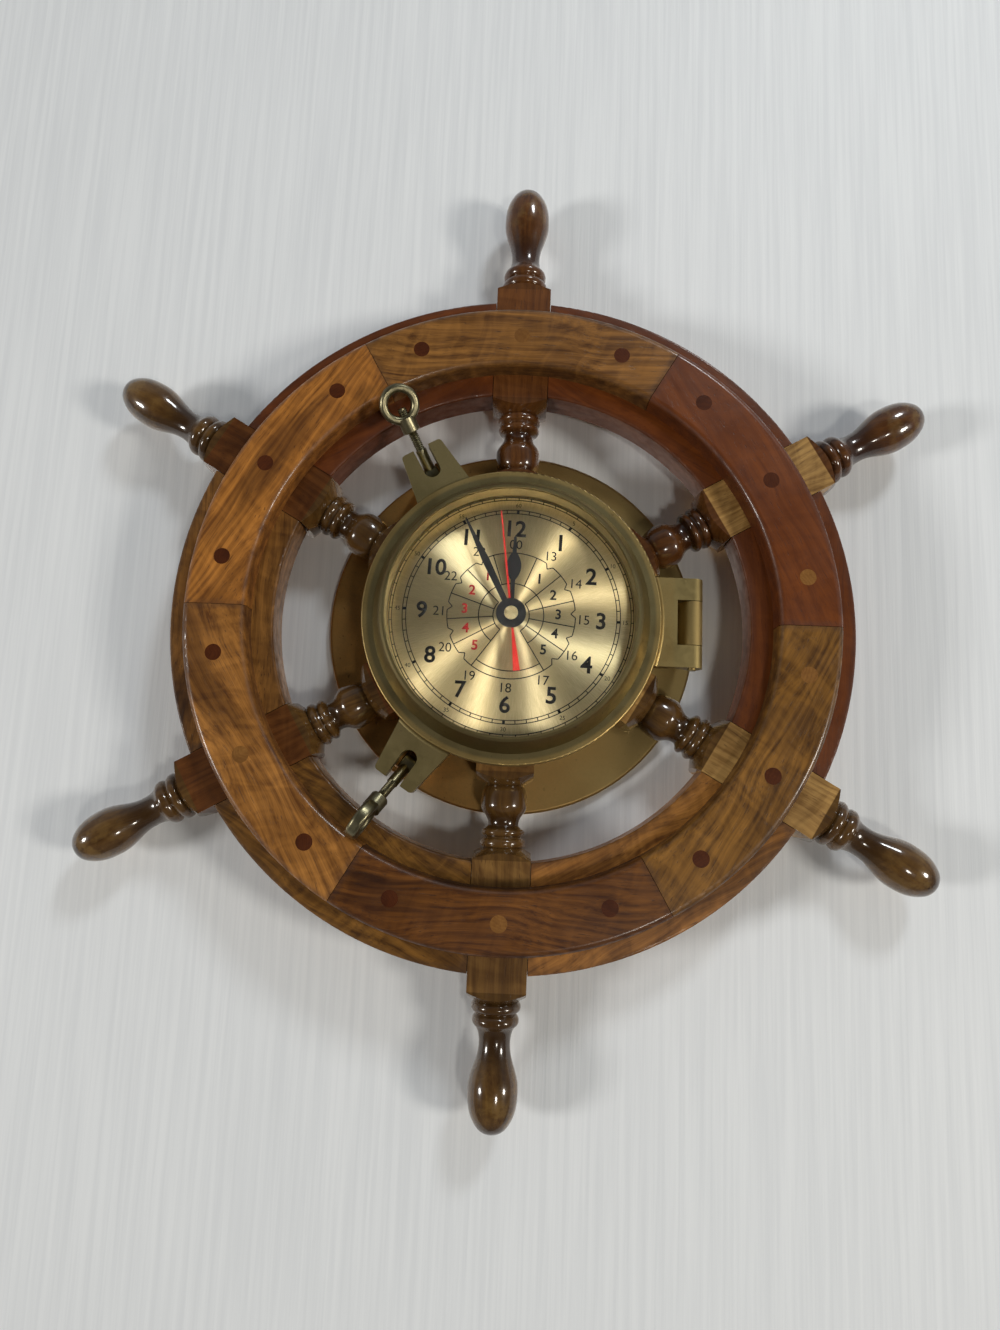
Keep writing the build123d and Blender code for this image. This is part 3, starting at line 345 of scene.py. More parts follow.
@dataclass(frozen=True)
class WornEdges:
    """Darker bands along a curved board's inner and outer arcs and its two joints."""

    ragged: Layer = Layer(130.0, 4.0, 0.6)
    ragged_band: Band = Band(0.3, 0.7, 0.3, 1.0)

    def build(self, name: str) -> bpy.types.NodeTree:
        """Build the group.

        Args:
            name: the group's name.

        Returns:
            The group's tree.
        """
        pen, out = open_group(name, (), ("Inner", "Outer", "Half Angle", "Width"),
                              {"Mask": "NodeSocketFloat"})
        parts = pen.add("SeparateXYZ", {0: out["Vector"]}).outputs
        reach = pen.reach(out["Vector"])
        angle = pen.math("ABSOLUTE", pen.math("ARCTAN2", parts["X"], parts["Z"]))
        joint = pen.math("MULTIPLY", pen.math("SUBTRACT", out["Half Angle"], angle), reach)
        arcs = pen.math("MINIMUM", pen.math("SUBTRACT", reach, out["Inner"]),
                        pen.math("SUBTRACT", out["Outer"], reach))
        near = pen.math("MINIMUM", arcs, joint)
        ragged = pen.spread(pen.noise(out["Vector"], self.ragged), self.ragged_band)
        mask = pen.math("MULTIPLY", pen.spread(near, Band(0.0, out["Width"], 1.0, 0.0)), ragged)
        pen.add("Output", {"Mask": mask})
        return pen.tree


@dataclass(frozen=True)
class AgedMetal:
    """Aged cast metal: clouds of tarnish, small dark spots, pits and a cast skin."""

    cloud_detail: float = 5.0
    cloud_rough: float = 0.62
    cloud_band: Band = Band(0.36, 0.66, 0.0, 0.75)
    skin: Layer = Layer(330.0, 4.0, 0.62)
    skin_band: Band = Band(0.4, 0.7, 0.0, 0.3)
    skin_height: float = 0.5
    specks: Layer = Layer(1150.0, 3.0, 0.6)
    speck_band: Band = Band(0.62, 0.70)
    pits: Layer = Layer(300.0, 2.0, 0.5)
    pit_band: Band = Band(0.68, 0.75)
    age_rough: float = 0.16
    spot_rough: float = 0.25

    def build(self, name: str) -> bpy.types.NodeTree:
        """Build the group.

        Args:
            name: the group's name.

        Returns:
            The group's tree.
        """
        pen, out = open_group(name, ("Clean", "Tarnish", "Spot"), ("Scale", "Spots", "Gloss"), SURFACE)
        clouds = pen.noise(out["Vector"], Layer(out["Scale"], self.cloud_detail, self.cloud_rough))
        skin = pen.noise(out["Vector"], self.skin)
        specks = pen.spread(pen.noise(out["Vector"], self.specks), self.speck_band)
        pits = pen.spread(pen.noise(out["Vector"], self.pits), self.pit_band)
        spots = pen.math("MULTIPLY", pen.math("MAXIMUM", specks, pits), out["Spots"])
        age = pen.math("ADD", pen.spread(clouds, self.cloud_band), pen.spread(skin, self.skin_band))
        age = pen.clamp(age)
        colour = pen.mix(age, out["Clean"], out["Tarnish"])
        colour = pen.mix(spots, colour, out["Spot"])
        rough = pen.math("ADD", out["Gloss"], pen.math("MULTIPLY", age, self.age_rough))
        rough = pen.math("ADD", rough, pen.math("MULTIPLY", spots, self.spot_rough))
        height = pen.math("SUBTRACT", pen.math("MULTIPLY", skin, self.skin_height), spots)
        pen.add("Output", {"Color": colour, "Roughness": rough, "Height": height})
        return pen.tree


@dataclass(frozen=True)
class FineGrain:
    """Even surface with a little mottling: paint, plastic and plated steel."""

    fine_detail: float = 3.0
    fine_rough: float = 0.6
    cloud: Layer = Layer(90.0, 3.0, 0.55)
    cloud_band: Band = Band(0.42, 0.72)
    gloss_change: float = 0.14

    def build(self, name: str) -> bpy.types.NodeTree:
        """Build the group.

        Args:
            name: the group's name.

        Returns:
            The group's tree.
        """
        pen, out = open_group(name, ("Base", "Worn"), ("Scale", "Wear", "Gloss"), SURFACE)
        fine = pen.noise(out["Vector"], Layer(out["Scale"], self.fine_detail, self.fine_rough))
        cloud = pen.spread(pen.noise(out["Vector"], self.cloud), self.cloud_band)
        colour = pen.mix(pen.math("MULTIPLY", cloud, out["Wear"]), out["Base"], out["Worn"])
        rough = pen.math("ADD", out["Gloss"], pen.math("MULTIPLY", fine, self.gloss_change))
        pen.add("Output", {"Color": colour, "Roughness": rough, "Height": fine})
        return pen.tree


class GroupShop:
    """Builds the shared node groups once."""

    def __init__(self) -> None:
        """Start with no group made."""
        self.made: dict[Group, bpy.types.NodeTree] = {}

    def get(self, group: Group) -> bpy.types.NodeTree:
        """Return a group, built on its first use.

        Args:
            group: which group.

        Returns:
            The group's node tree.
        """
        if group not in self.made:
            kinds = {Group.WOOD: WoodGrain, Group.EDGES: WornEdges, Group.METAL: AgedMetal,
                     Group.GRAIN: FineGrain}
            self.made[group] = kinds[group]().build(group.value)
        return self.made[group]


GROUPS = GroupShop()


class Skin:
    """A new material: its pen, its shader and the place that its patterns read."""

    def __init__(self, name: str, turn: Point = (0.0, 0.0, 0.0)) -> None:
        """Make the material.

        Args:
            name: the material's name.
            turn: turn of the patterns about each axis, in degrees.
        """
        self.material = bpy.data.materials.new(name)
        self.material.use_nodes = True
        self.material.node_tree.nodes.clear()
        self.pen = NodePen(self.material.node_tree)
        self.shader = self.pen.add("BsdfPrincipled")
        self.output = self.pen.add("OutputMaterial", {"Surface": self.shader.outputs[0]})
        spot = self.pen.add("TexCoord").outputs["Object"]
        angles = tuple(math.radians(part) for part in turn)
        self.place = self.pen.add("Mapping", {"Vector": spot, "Rotation": angles}).outputs[0]

    def cut(self, shift: Point) -> Socket:
        """Move the patterns' place, as a board is cut from its own part of a log."""
        return self.pen.add("Mapping", {"Vector": self.place, "Location": shift}).outputs[0]

    def group(self, group: Group, vector: Socket,
              inputs: dict[str, object]) -> bpy.types.bpy_prop_collection:
        """Place a shared group.

        Args:
            group: which group.
            vector: the coordinates that it reads.
            inputs: its own values or sockets by name.

        Returns:
            The group's outputs.
        """
        node = self.pen.add("Group", node_tree=GROUPS.get(group))
        for key, value in {"Vector": vector, **inputs}.items():
            self.pen.feed(node.inputs[key], value)
        return node.outputs

    def cover(self, colour: object, rough: object, height: Socket, strength: float, depth: float) -> None:
        """Feed the shader its colour, roughness and relief.

        Args:
            colour: colour or socket.
            rough: roughness or socket.
            height: the relief's height.
            strength: the relief's strength.
            depth: the relief's depth in metres.
        """
        self.pen.feed(self.shader.inputs["Base Color"], colour)
        self.pen.feed(self.shader.inputs["Roughness"], rough)
        relief = self.pen.add("Bump", {"Height": height, "Strength": strength, "Distance": depth})
        self.pen.feed(self.shader.inputs["Normal"], relief.outputs["Normal"])

    def plain(self, values: dict[str, float]) -> None:
        """Set the shader's own sockets to values that are the same all over."""
        for name, value in values.items():
            self.shader.inputs[name].default_value = value

    def blend(self, share: Socket, first: Socket, second: Socket) -> None:
        """Let the surface be a mix of two shaders."""
        joined = self.pen.add("MixShader", {0: share, 1: first, 2: second})
        self.pen.feed(self.output.inputs["Surface"], joined.outputs[0])


@dataclass(frozen=True)
class Finish:
    """A finish of one group over a whole piece, with the plain sockets of its shader."""

    name: str
    group: Group
    inputs: dict[str, object]
    turn: Point = (0.0, 0.0, 0.0)
    metallic: float = 0.0
    coat: float = 0.0
    coat_rough: float = 0.08
    specular: float = 0.5
    bump: float = 0.1
    bump_depth: float = 0.4 * MM

    def material(self) -> bpy.types.Material:
        """Build the finish's material.

        Returns:
            The material.
        """
        skin = Skin(self.name, self.turn)
        face = skin.group(self.group, skin.place, self.inputs)
        skin.cover(face["Color"], face["Roughness"], face["Height"], self.bump, self.bump_depth)
        skin.plain({"Metallic": self.metallic, "Coat Weight": self.coat, "Coat Roughness": self.coat_rough,
                    "Specular IOR Level": self.specular})
        return skin.material


def dress(nodes: tuple[str, ...], material: bpy.types.Material) -> None:
    """Give CAD nodes a material.

    Args:
        nodes: the nodes' names.
        material: their material.
    """
    for name in nodes:
        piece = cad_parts[name]
        if not piece.material_slots:
            piece.data.materials.append(material)
        for slot in piece.material_slots:
            slot.material = material
        LOG.info("dressed %s in %s", name, material.name)


@dataclass(frozen=True)
class Paint:
    """An even finish: paint, plastic, plated steel, rubber or ink."""

    base: Colour
    worn: Colour
    scale: float
    wear: float
    gloss: float
    metallic: float = 0.0
    coat: float = 0.0
    bump: float = 0.1
    specular: float = 0.5

    def material(self, name: str) -> bpy.types.Material:
        """Build the paint's material.

        Args:
            name: the material's name.

        Returns:
            The material.
        """
        given = {"Base": self.base, "Worn": self.worn, "Scale": self.scale, "Wear": self.wear,
                 "Gloss": self.gloss}
        finish = Finish(name, Group.GRAIN, given, metallic=self.metallic, coat=self.coat, bump=self.bump,
                        specular=self.specular)
        return finish.material()


@dataclass(frozen=True)
class WoodTone:
    """Colours and figure of one kind of wood."""

    light: Colour
    dark: Colour
    deep: Colour
    figure: float = 0.5
    streaks: float = 0.5
    rings: float = 55.0
    gloss: float = 0.26

    def inputs(self) -> dict[str, object]:
        """Values for the wood group."""
        return {"Light": self.light, "Dark": self.dark, "Deep": self.deep, "Rings": self.rings,
                "Figure": self.figure, "Streaks": self.streaks, "Gloss": self.gloss}


GOLDEN = WoodTone((0.312, 0.140, 0.031), (0.076, 0.028, 0.005), (0.026, 0.009, 0.002), 0.45, 0.6)
RED_BROWN = WoodTone((0.175, 0.047, 0.008), (0.095, 0.023, 0.004), (0.044, 0.010, 0.002), 0.4, 0.4, 40.0)
OLIVE_GOLD = WoodTone((0.275, 0.126, 0.023), (0.064, 0.025, 0.004), (0.030, 0.010, 0.002), 0.6, 0.5)
STREAKED = WoodTone((0.185, 0.068, 0.012), (0.042, 0.011, 0.002), (0.016, 0.004, 0.001), 0.3, 0.95, 70.0)
HONEY = WoodTone((0.450, 0.194, 0.041), (0.108, 0.038, 0.007), (0.035, 0.011, 0.003), 0.45, 0.6, 45.0)
AMBER = WoodTone((0.510, 0.203, 0.036), (0.150, 0.052, 0.009), (0.052, 0.017, 0.004), 0.35, 0.6, 60.0)
WALNUT = WoodTone((0.122, 0.047, 0.012), (0.052, 0.017, 0.004), (0.020, 0.006, 0.002), 0.5, 0.6,
                  60.0, 0.16)
OLIVE_WALNUT = WoodTone((0.135, 0.070, 0.019), (0.058, 0.026, 0.007), (0.022, 0.009, 0.002), 0.6, 0.6,
                        60.0, 0.16)
OLIVE_BLOCK = WoodTone((0.500, 0.295, 0.095), (0.190, 0.096, 0.026), (0.075, 0.032, 0.009), 0.5, 0.6)
DUSKY_BLOCK = WoodTone((0.215, 0.112, 0.031), (0.090, 0.040, 0.010), (0.038, 0.014, 0.003), 0.5, 0.6)
RED_BLOCK = WoodTone((0.150, 0.054, 0.013), (0.066, 0.020, 0.004), (0.030, 0.008, 0.002), 0.4, 0.5)
BACKING = WoodTone((0.165, 0.080, 0.028), (0.098, 0.042, 0.013), (0.052, 0.021, 0.007), 0.3, 0.4,
                   50.0, 0.42)
PLUG_DARK = WoodTone((0.082, 0.021, 0.005), (0.048, 0.011, 0.003), (0.024, 0.006, 0.002), 0.2, 0.4, 160.0)
PLUG_LIGHT = WoodTone((0.255, 0.118, 0.030), (0.165, 0.068, 0.015), (0.085, 0.032, 0.007), 0.2, 0.4, 160.0)
END_GRAIN = (0.0, 0.0, 90.0)


@dataclass(frozen=True)
class Board:
    """Finish of one curved board of the rim, cut from its own place in the log."""

    name: str
    tone: WoodTone
    turn: float
    cut: Point
    inner: float
    outer: float
    half_angle: float
    edge_width: float = 4.5 * MM
    edge_dark_share: float = 0.6
    edge_rough: float = 0.3
    edge_coat: float = 0.05
    coat: float = 0.5
    coat_rough: float = 0.18
    specular: float = 0.3
    bump: float = 0.2
    bump_depth: float = 0.4 * MM

    def material(self) -> bpy.types.Material:
        """Build the board's varnished material.

        Returns:
            The material.
        """
        skin = Skin(self.name, (0.0, self.turn, 0.0))
        pen = skin.pen
        face = skin.group(Group.WOOD, skin.cut(self.cut), self.tone.inputs())
        edge = skin.group(Group.EDGES, skin.place, {
            "Inner": self.inner, "Outer": self.outer, "Half Angle": math.radians(self.half_angle),
            "Width": self.edge_width})["Mask"]
        colour = pen.mix(pen.math("MULTIPLY", edge, self.edge_dark_share), face["Color"], self.tone.deep)
        rough = pen.math("ADD", face["Roughness"], pen.math("MULTIPLY", edge, self.edge_rough))
        skin.cover(colour, rough, face["Height"], self.bump, self.bump_depth)
        coat = pen.spread(edge, Band(0.0, 1.0, self.coat, self.edge_coat))
        pen.feed(skin.shader.inputs["Coat Weight"], coat)
        skin.plain({"Coat Roughness": self.coat_rough, "Specular IOR Level": self.specular})
        return skin.material


@dataclass(frozen=True)
class SpokeFinish:
    """Finish of one spoke: dark turned lengths and plain square blocks, with painted shade in the turned
    grooves and painted highlights on the handles' tips.
    """

    name: str
    turned: WoodTone
    block: WoodTone
    turn: float
    cut: Point
    axis_height: float = 23.5 * MM
    inner_block_end: float = 93.3 * MM
    block_start: float = 147.0 * MM
    block_end: float = 222.0 * MM
    blur: float = 0.6 * MM
    groove_radius: float = 9.2 * MM
    crown_radius: float = 13.6 * MM
    # Share of painted shade where the turned lengths are thinnest.
    groove_dark: float = 0.75
    # Painted highlights on the handles' tips: where they start and end, their share, their colour and their
    # patches.
    worn_start: float = 255.0 * MM
    worn_end: float = 300.0 * MM
    worn_share: float = 0.6
    worn: Colour = (0.200, 0.118, 0.036)
    patches: Layer = Layer(90.0, 5.0, 0.65)
    patch_low: float = 0.45
    patch_high: float = 0.62
    block_rough: float = 0.12
    block_coat: float = 0.3
    coat: float = 0.85
    coat_rough: float = 0.06
    specular: float = 0.2
    bump: float = 0.14
    bump_depth: float = 0.4 * MM

    def material(self) -> bpy.types.Material:
        """Build the spoke's material.

        Returns:
            The material.
        """
        skin = Skin(self.name, (0.0, self.turn, 0.0))
        pen = skin.pen
        parts = pen.add("SeparateXYZ", {0: skin.place}).outputs
        block = self._block(pen, parts["X"])
        given = self.turned.inputs()
        for label, second in (("Light", self.block.light), ("Dark", self.block.dark),
                              ("Deep", self.block.deep)):
            given[label] = pen.mix(block, given[label], second)
        face = skin.group(Group.WOOD, skin.cut(self.cut), given)
        lift = pen.math("ADD", parts["Y"], self.axis_height)
        off_axis = pen.add("CombineXYZ", {"Y": lift, "Z": parts["Z"]}).outputs[0]
        girth = pen.add("VectorMath", {0: off_axis}, operation="LENGTH").outputs["Value"]
        # Painted shade: darkens the turned lengths where they are thinnest, in their grooves and necks.
        painted_groove_shade = pen.spread(girth, Band(self.groove_radius, self.crown_radius, self.groove_dark, 0.0))
        painted_groove_shade = pen.math("MULTIPLY", painted_groove_shade, pen.math("SUBTRACT", 1.0, block))
        colour = pen.mix(painted_groove_shade, face["Color"], self.turned.deep)
        # Painted highlights: lighter golden patches toward the handles' tips.
        patches = pen.spread(pen.noise(skin.cut(self.cut), self.patches),
                             Band(self.patch_low, self.patch_high, 0.0, self.worn_share))
        tip_highlight_reach = pen.spread(parts["X"], Band(self.worn_start, self.worn_end))
        colour = pen.mix(pen.math("MULTIPLY", tip_highlight_reach, patches), colour, self.worn)
        rough = pen.math("ADD", face["Roughness"], pen.math("MULTIPLY", block, self.block_rough))
        skin.cover(colour, rough, face["Height"], self.bump, self.bump_depth)
        coat = pen.spread(block, Band(0.0, 1.0, self.coat, self.block_coat))
        pen.feed(skin.shader.inputs["Coat Weight"], coat)
        skin.plain({"Coat Roughness": self.coat_rough, "Specular IOR Level": self.specular})
        return skin.material

    def _block(self, pen: NodePen, along: Socket) -> Socket:
        """Mask the two square blocks of a spoke.

        Args:
            pen: the material's pen.
            along: distance from the wheel's axis along the spoke.

        Returns:
            The mask's socket.
        """
        starts = pen.spread(along, Band(self.block_start - self.blur, self.block_start))
        ends = pen.spread(along, Band(self.block_end, self.block_end + self.blur, 1.0, 0.0))
        inner = pen.spread(along, Band(self.inner_block_end, self.inner_block_end + self.blur, 1.0, 0.0))
        return pen.math("MAXIMUM", pen.math("MULTIPLY", starts, ends), inner)


@dataclass
class Wheel:
    """The wooden wheel: facings, felloes, spokes, back ring, plugs and hanger."""

    facings: tuple[WoodTone, ...] = (GOLDEN, RED_BROWN, OLIVE_GOLD, STREAKED, HONEY, AMBER)
    felloes: tuple[WoodTone, ...] = (RED_BROWN, RED_BROWN, HONEY, OLIVE_GOLD, GOLDEN, RED_BROWN)
    blocks: tuple[WoodTone, ...] = (RED_BLOCK, OLIVE_BLOCK, OLIVE_BLOCK, DUSKY_BLOCK, RED_BLOCK, RED_BLOCK)
    turned: tuple[WoodTone, ...] = (WALNUT, WALNUT, OLIVE_WALNUT, OLIVE_WALNUT, OLIVE_WALNUT, OLIVE_WALNUT)
    facing_inner: float = 162.0 * MM
    facing_outer: float = 200.5 * MM
    felloe_inner: float = 148.5 * MM
    felloe_outer: float = 213.0 * MM
    felloe_half_angle: float = 24.6
    log_step: float = 0.43
    log_depth: float = 0.055
    log_side: tuple[float, ...] = (-0.125, -0.21, -0.14, -0.26, -0.15, -0.19)
    zinc: Paint = Paint((0.42, 0.42, 0.41), (0.26, 0.25, 0.23), 700.0, 0.6, 0.26, metallic=1.0)
    zinc_nodes: tuple[str, ...] = ("rim_screws", "back_ring_screws", "spoke_screws", "hanger_screws",
                                   "hanger_plate", "spacer_screws", "battery_contacts")

    def cut(self, number: int) -> Point:
        """Where in the log a board was cut."""
        return self.log_step * number, self.log_depth, self.log_side[number % SPOKES]

    def dress(self) -> None:
        """Dress the wooden pieces and their fasteners."""
        for place in range(SPOKES):
            angle = place * STEP
            facing = Board(f"facing_varnish_{place + 1}", self.facings[place], -angle, self.cut(place),
                           self.facing_inner, self.facing_outer, STEP / 2)
            dress((f"rim_facing_{place + 1}",), facing.material())
            felloe = Board(f"felloe_varnish_{place + 1}", self.felloes[place], -angle - STEP / 2,
                           self.cut(place + SPOKES), self.felloe_inner, self.felloe_outer,
                           self.felloe_half_angle)
            dress((f"felloe_{place + 1}",), felloe.material())
            spoke = SpokeFinish(f"spoke_varnish_{place + 1}", self.turned[place], self.blocks[place],
                                QUARTER_TURN - angle, self.cut(place + 2 * SPOKES))
            dress((f"spoke_{place + 1}",), spoke.material())
        back = Finish("back_varnish", Group.WOOD, BACKING.inputs(), coat=0.2, coat_rough=0.25, bump=0.2)
        dress(("back_ring_pieces",), back.material())
        for node, tone in (("rim_plugs_dark", PLUG_DARK), ("rim_plugs_light", PLUG_LIGHT)):
            plug = Finish(node + "_varnish", Group.WOOD, tone.inputs(), turn=END_GRAIN, coat=0.2,
                          coat_rough=0.2, specular=0.2)
            dress((node,), plug.material())
        dress(self.zinc_nodes, self.zinc.material("zinc_steel"))


@dataclass(frozen=True)
class Brass:
    """Aged brass that turns olive along X, with painted shade in dark green on the bezel's inner conical
    wall.
    """

    name: str
    clean: Colour
    tarnish: Colour
    gloss: float
    spots: float
    olive_start: float = 97.0 * MM
    olive_end: float = 101.0 * MM
    olive: Colour = (0.36, 0.280, 0.118)
    olive_share: float = 0.8
    # Share and colour of the painted shade on the bezel's inner conical wall.
    cone_share: float = 0.0
    cone_tint: Colour = (0.125, 0.122, 0.070)
    cone_inner: float = 70.0 * MM
    cone_outer: float = 86.6 * MM
    cone_rise: float = 1.0 * MM
    cone_fall: float = 2.0 * MM
    stain: Colour = (0.060, 0.042, 0.020)
    cloud_scale: float = 34.0
    bump: float = 0.12
    bump_depth: float = 0.4 * MM

    def material(self) -> bpy.types.Material:
        """Build the brass.

        Returns:
            The material.
        """
        skin = Skin(self.name)
        pen = skin.pen
        face = skin.group(Group.METAL, skin.place, {
            "Clean": self.clean, "Tarnish": self.tarnish, "Spot": self.stain, "Scale": self.cloud_scale,
            "Spots": self.spots, "Gloss": self.gloss})
        reach = pen.reach(skin.place)
        rise = pen.spread(reach, Band(self.cone_inner, self.cone_inner + self.cone_rise))
        fall = pen.spread(reach, Band(self.cone_outer, self.cone_outer + self.cone_fall, 1.0, 0.0))
        # Painted shade: darkens the bezel's inner conical wall toward dark green.
        cone_shade_mask = pen.math("MULTIPLY", pen.math("MULTIPLY", rise, fall), self.cone_share)
        across = pen.add("SeparateXYZ", {0: skin.place}).outputs["X"]
        turned = pen.spread(across, Band(self.olive_start, self.olive_end, 0.0, self.olive_share))
        colour = pen.mix(turned, face["Color"], self.olive)
        colour = pen.mix(cone_shade_mask, colour, self.cone_tint)
        skin.cover(colour, face["Roughness"], face["Height"], self.bump, self.bump_depth)
        skin.plain({"Metallic": 1.0})
        return skin.material


@dataclass
class Porthole:
    """The brass case with its bezel, glass, hinge, swing bolts and nuts."""

    flange: Brass = Brass("flange_brass", (0.45, 0.235, 0.068), (0.33, 0.195, 0.068), 0.45, 0.45,
                          olive_start=-70.0 * MM, olive_end=95.0 * MM)
    rim: Brass = Brass("rim_brass", (0.46, 0.325, 0.122), (0.32, 0.240, 0.100), 0.37, 0.4, cone_share=0.6)
    lug: Brass = Brass("lug_brass", (0.34, 0.270, 0.118), (0.25, 0.200, 0.095), 0.38, 0.35)
    bolt: Brass = Brass("bolt_brass", (0.250, 0.225, 0.135), (0.125, 0.115, 0.072), 0.30, 0.6)
    polished: Brass = Brass("polished_brass", (0.78, 0.60, 0.28), (0.62, 0.46, 0.20), 0.13, 0.1)
    rubber: Paint = Paint((0.018, 0.018, 0.018), (0.035, 0.034, 0.032), 900.0, 0.5, 0.6)

    def dress(self) -> None:
        """Dress the brass pieces, the glass, the gasket and the spacer."""
        dress(("case_body",), self.flange.material())
        dress(("bezel", "hinge_pin", "dog_pivot_pins", "glass_retainer"), self.rim.material())
        dress(("upper_bezel_lug", "lower_bezel_lug"), self.lug.material())
        dress(("upper_swing_bolt", "lower_swing_bolt", "upper_eye_nut", "lower_eye_nut"),
              self.bolt.material())
        dress(("bush_nut", "minute_arbor"), self.polished.material())
        dress(("bezel_gasket",), self.rubber.material("gasket_rubber"))
        spacer = Finish("spacer_wood", Group.WOOD, BACKING.inputs(), turn=END_GRAIN, coat=0.1)
        dress(("dial_spacer",), spacer.material())
        dress(("glass",), self.glass())

    @staticmethod
    def glass() -> bpy.types.Material:
        """Make the clear glass, which lets the lamps' light through to the dial.

        Returns:
            The material.
        """
        skin = Skin("dial_glass")
        skin.plain({"Roughness": 0.0, "Transmission Weight": 1.0, "IOR": 1.45})
        skin.shader.inputs["Base Color"].default_value = (1.0, 1.0, 1.0, 1.0)
        clear = skin.pen.add("BsdfTransparent").outputs[0]
        ray = skin.pen.add("LightPath").outputs["Is Shadow Ray"]
        skin.blend(ray, skin.shader.outputs[0], clear)
        return skin.material


class Flat:
    """Flat printed shapes, drawn in the XY plane and then laid on the dial."""

    merge_reach = 0.001 * MM
    curve_steps = 4
    arc_step = 2
    arc_least_steps = 4

    def __init__(self, height: float, turn: float, thick: float) -> None:
        """Keep where the print lies.

        Args:
            height: distance of the dial's face in front of the wall.
            turn: turn of the dial, clockwise, in degrees.
            thick: thickness of the print.
        """
        self.height = height
        self.turn = turn
        self.thick = thick
        self.parts: list[bpy.types.Object] = []

    @staticmethod
    def _begin() -> None:
        """Leave nothing selected."""
        bpy.ops.object.select_all(action="DESELECT")

    def _thicken(self) -> None:
        """Give the flat faces in edit mode the print's thickness and close the mesh."""
        bpy.ops.mesh.select_all(action="SELECT")
        bpy.ops.mesh.extrude_region_move(TRANSFORM_OT_translate={"value": (0.0, 0.0, self.thick)})
        bpy.ops.mesh.select_all(action="SELECT")
        bpy.ops.mesh.remove_doubles(threshold=self.merge_reach)
        bpy.ops.mesh.normals_make_consistent(inside=False)

    def _keep(self) -> None:
        """Leave edit mode and keep the active object as a part of the print."""
        bpy.ops.object.mode_set(mode="OBJECT")
        self.parts.append(bpy.context.object)

    def ring(self, radius: float, width: float, steps: int = 180) -> None:
        """Print a thin circle.

        Args:
            radius: outer radius.
            width: line width.
            steps: sides of the circle.
        """
        self._begin()
        bpy.ops.mesh.primitive_circle_add(vertices=steps, radius=radius, fill_type="NOTHING")
        bpy.ops.object.mode_set(mode="EDIT")
        bpy.ops.mesh.select_all(action="SELECT")
        bpy.ops.mesh.extrude_edges_move()
        share = (radius - width) / radius
        bpy.ops.transform.resize(value=(share, share, 1.0))
        self._thicken()
        self._keep()

    def ticks(self, inner: float, outer: float, width: float, count: int) -> None:
        """Print a ring of radial ticks.

        Args:
            inner: inner radius.
            outer: outer radius.
            width: line width.
            count: how many.
        """
        self._bar((0.0, (inner + outer) / 2), width, outer - inner, 0.0)
        bpy.ops.object.mode_set(mode="EDIT")
        bpy.ops.mesh.select_all(action="SELECT")
        bpy.ops.mesh.spin(steps=count - 1, dupli=True, angle=math.tau * (count - 1) / count,
                          center=(0.0, 0.0, 0.0), axis=(0.0, 0.0, 1.0))
        bpy.ops.object.mode_set(mode="OBJECT")

    def _bar(self, middle: tuple[float, float], width: float, length: float, angle: float) -> None:
        """Print one straight bar.

        Args:
            middle: its middle in the flat plane.
            width: line width.
            length: its length, along Y before it is turned.
            angle: turn, clockwise, in degrees.
        """
        self._begin()
        bpy.ops.mesh.primitive_plane_add(size=1.0, location=(*middle, 0.0),
                                         rotation=(0.0, 0.0, -math.radians(angle)))
        bpy.context.object.scale = (width, length, 1.0)
        bpy.ops.object.transform_apply(location=True, rotation=True, scale=True)
        bpy.ops.object.mode_set(mode="EDIT")
        self._thicken()
        self._keep()

    def line(self, start: tuple[float, float], end: tuple[float, float], width: float) -> None:
        """Print a straight line between two points given by radius and clock angle.

        Args:
            start: radius and clockwise angle of one end.
            end: radius and clockwise angle of the other end.
            width: line width.
        """
        first = Vector(self.spot(*start))
        last = Vector(self.spot(*end))
        run = last - first
        middle = (first + last) / 2
        self._bar((middle.x, middle.y), width, run.length, math.degrees(math.atan2(run.x, run.y)))

    def arc(self, radius: float, first: float, last: float, width: float) -> None:
        """Print an arc.

        Args:
            radius: middle radius.
            first: clockwise angle where it starts.
            last: clockwise angle where it ends.
            width: line width.
        """
        self._begin()
        bpy.ops.mesh.primitive_plane_add(size=1.0)
        bpy.ops.object.mode_set(mode="EDIT")
        bpy.ops.mesh.select_all(action="DESELECT")
        bpy.ops.object.mode_set(mode="OBJECT")
        mesh = bpy.context.object.data
        for vertex in mesh.vertices:
            vertex.select = vertex.co.x > 0
        bpy.ops.object.mode_set(mode="EDIT")
        bpy.ops.mesh.delete(type="VERT")
        bpy.ops.object.mode_set(mode="OBJECT")
        for vertex, reach in zip(mesh.vertices, (radius - width / 2, radius + width / 2)):
            vertex.co = (*self.spot(reach, first), 0.0)
        bpy.ops.object.mode_set(mode="EDIT")
        bpy.ops.mesh.select_all(action="SELECT")
        steps = max(self.arc_least_steps, int(abs(last - first) / self.arc_step))
        bpy.ops.mesh.spin(steps=steps, angle=math.radians(last - first), center=(0.0, 0.0, 0.0),
                          axis=(0.0, 0.0, 1.0))
        self._thicken()
        self._keep()

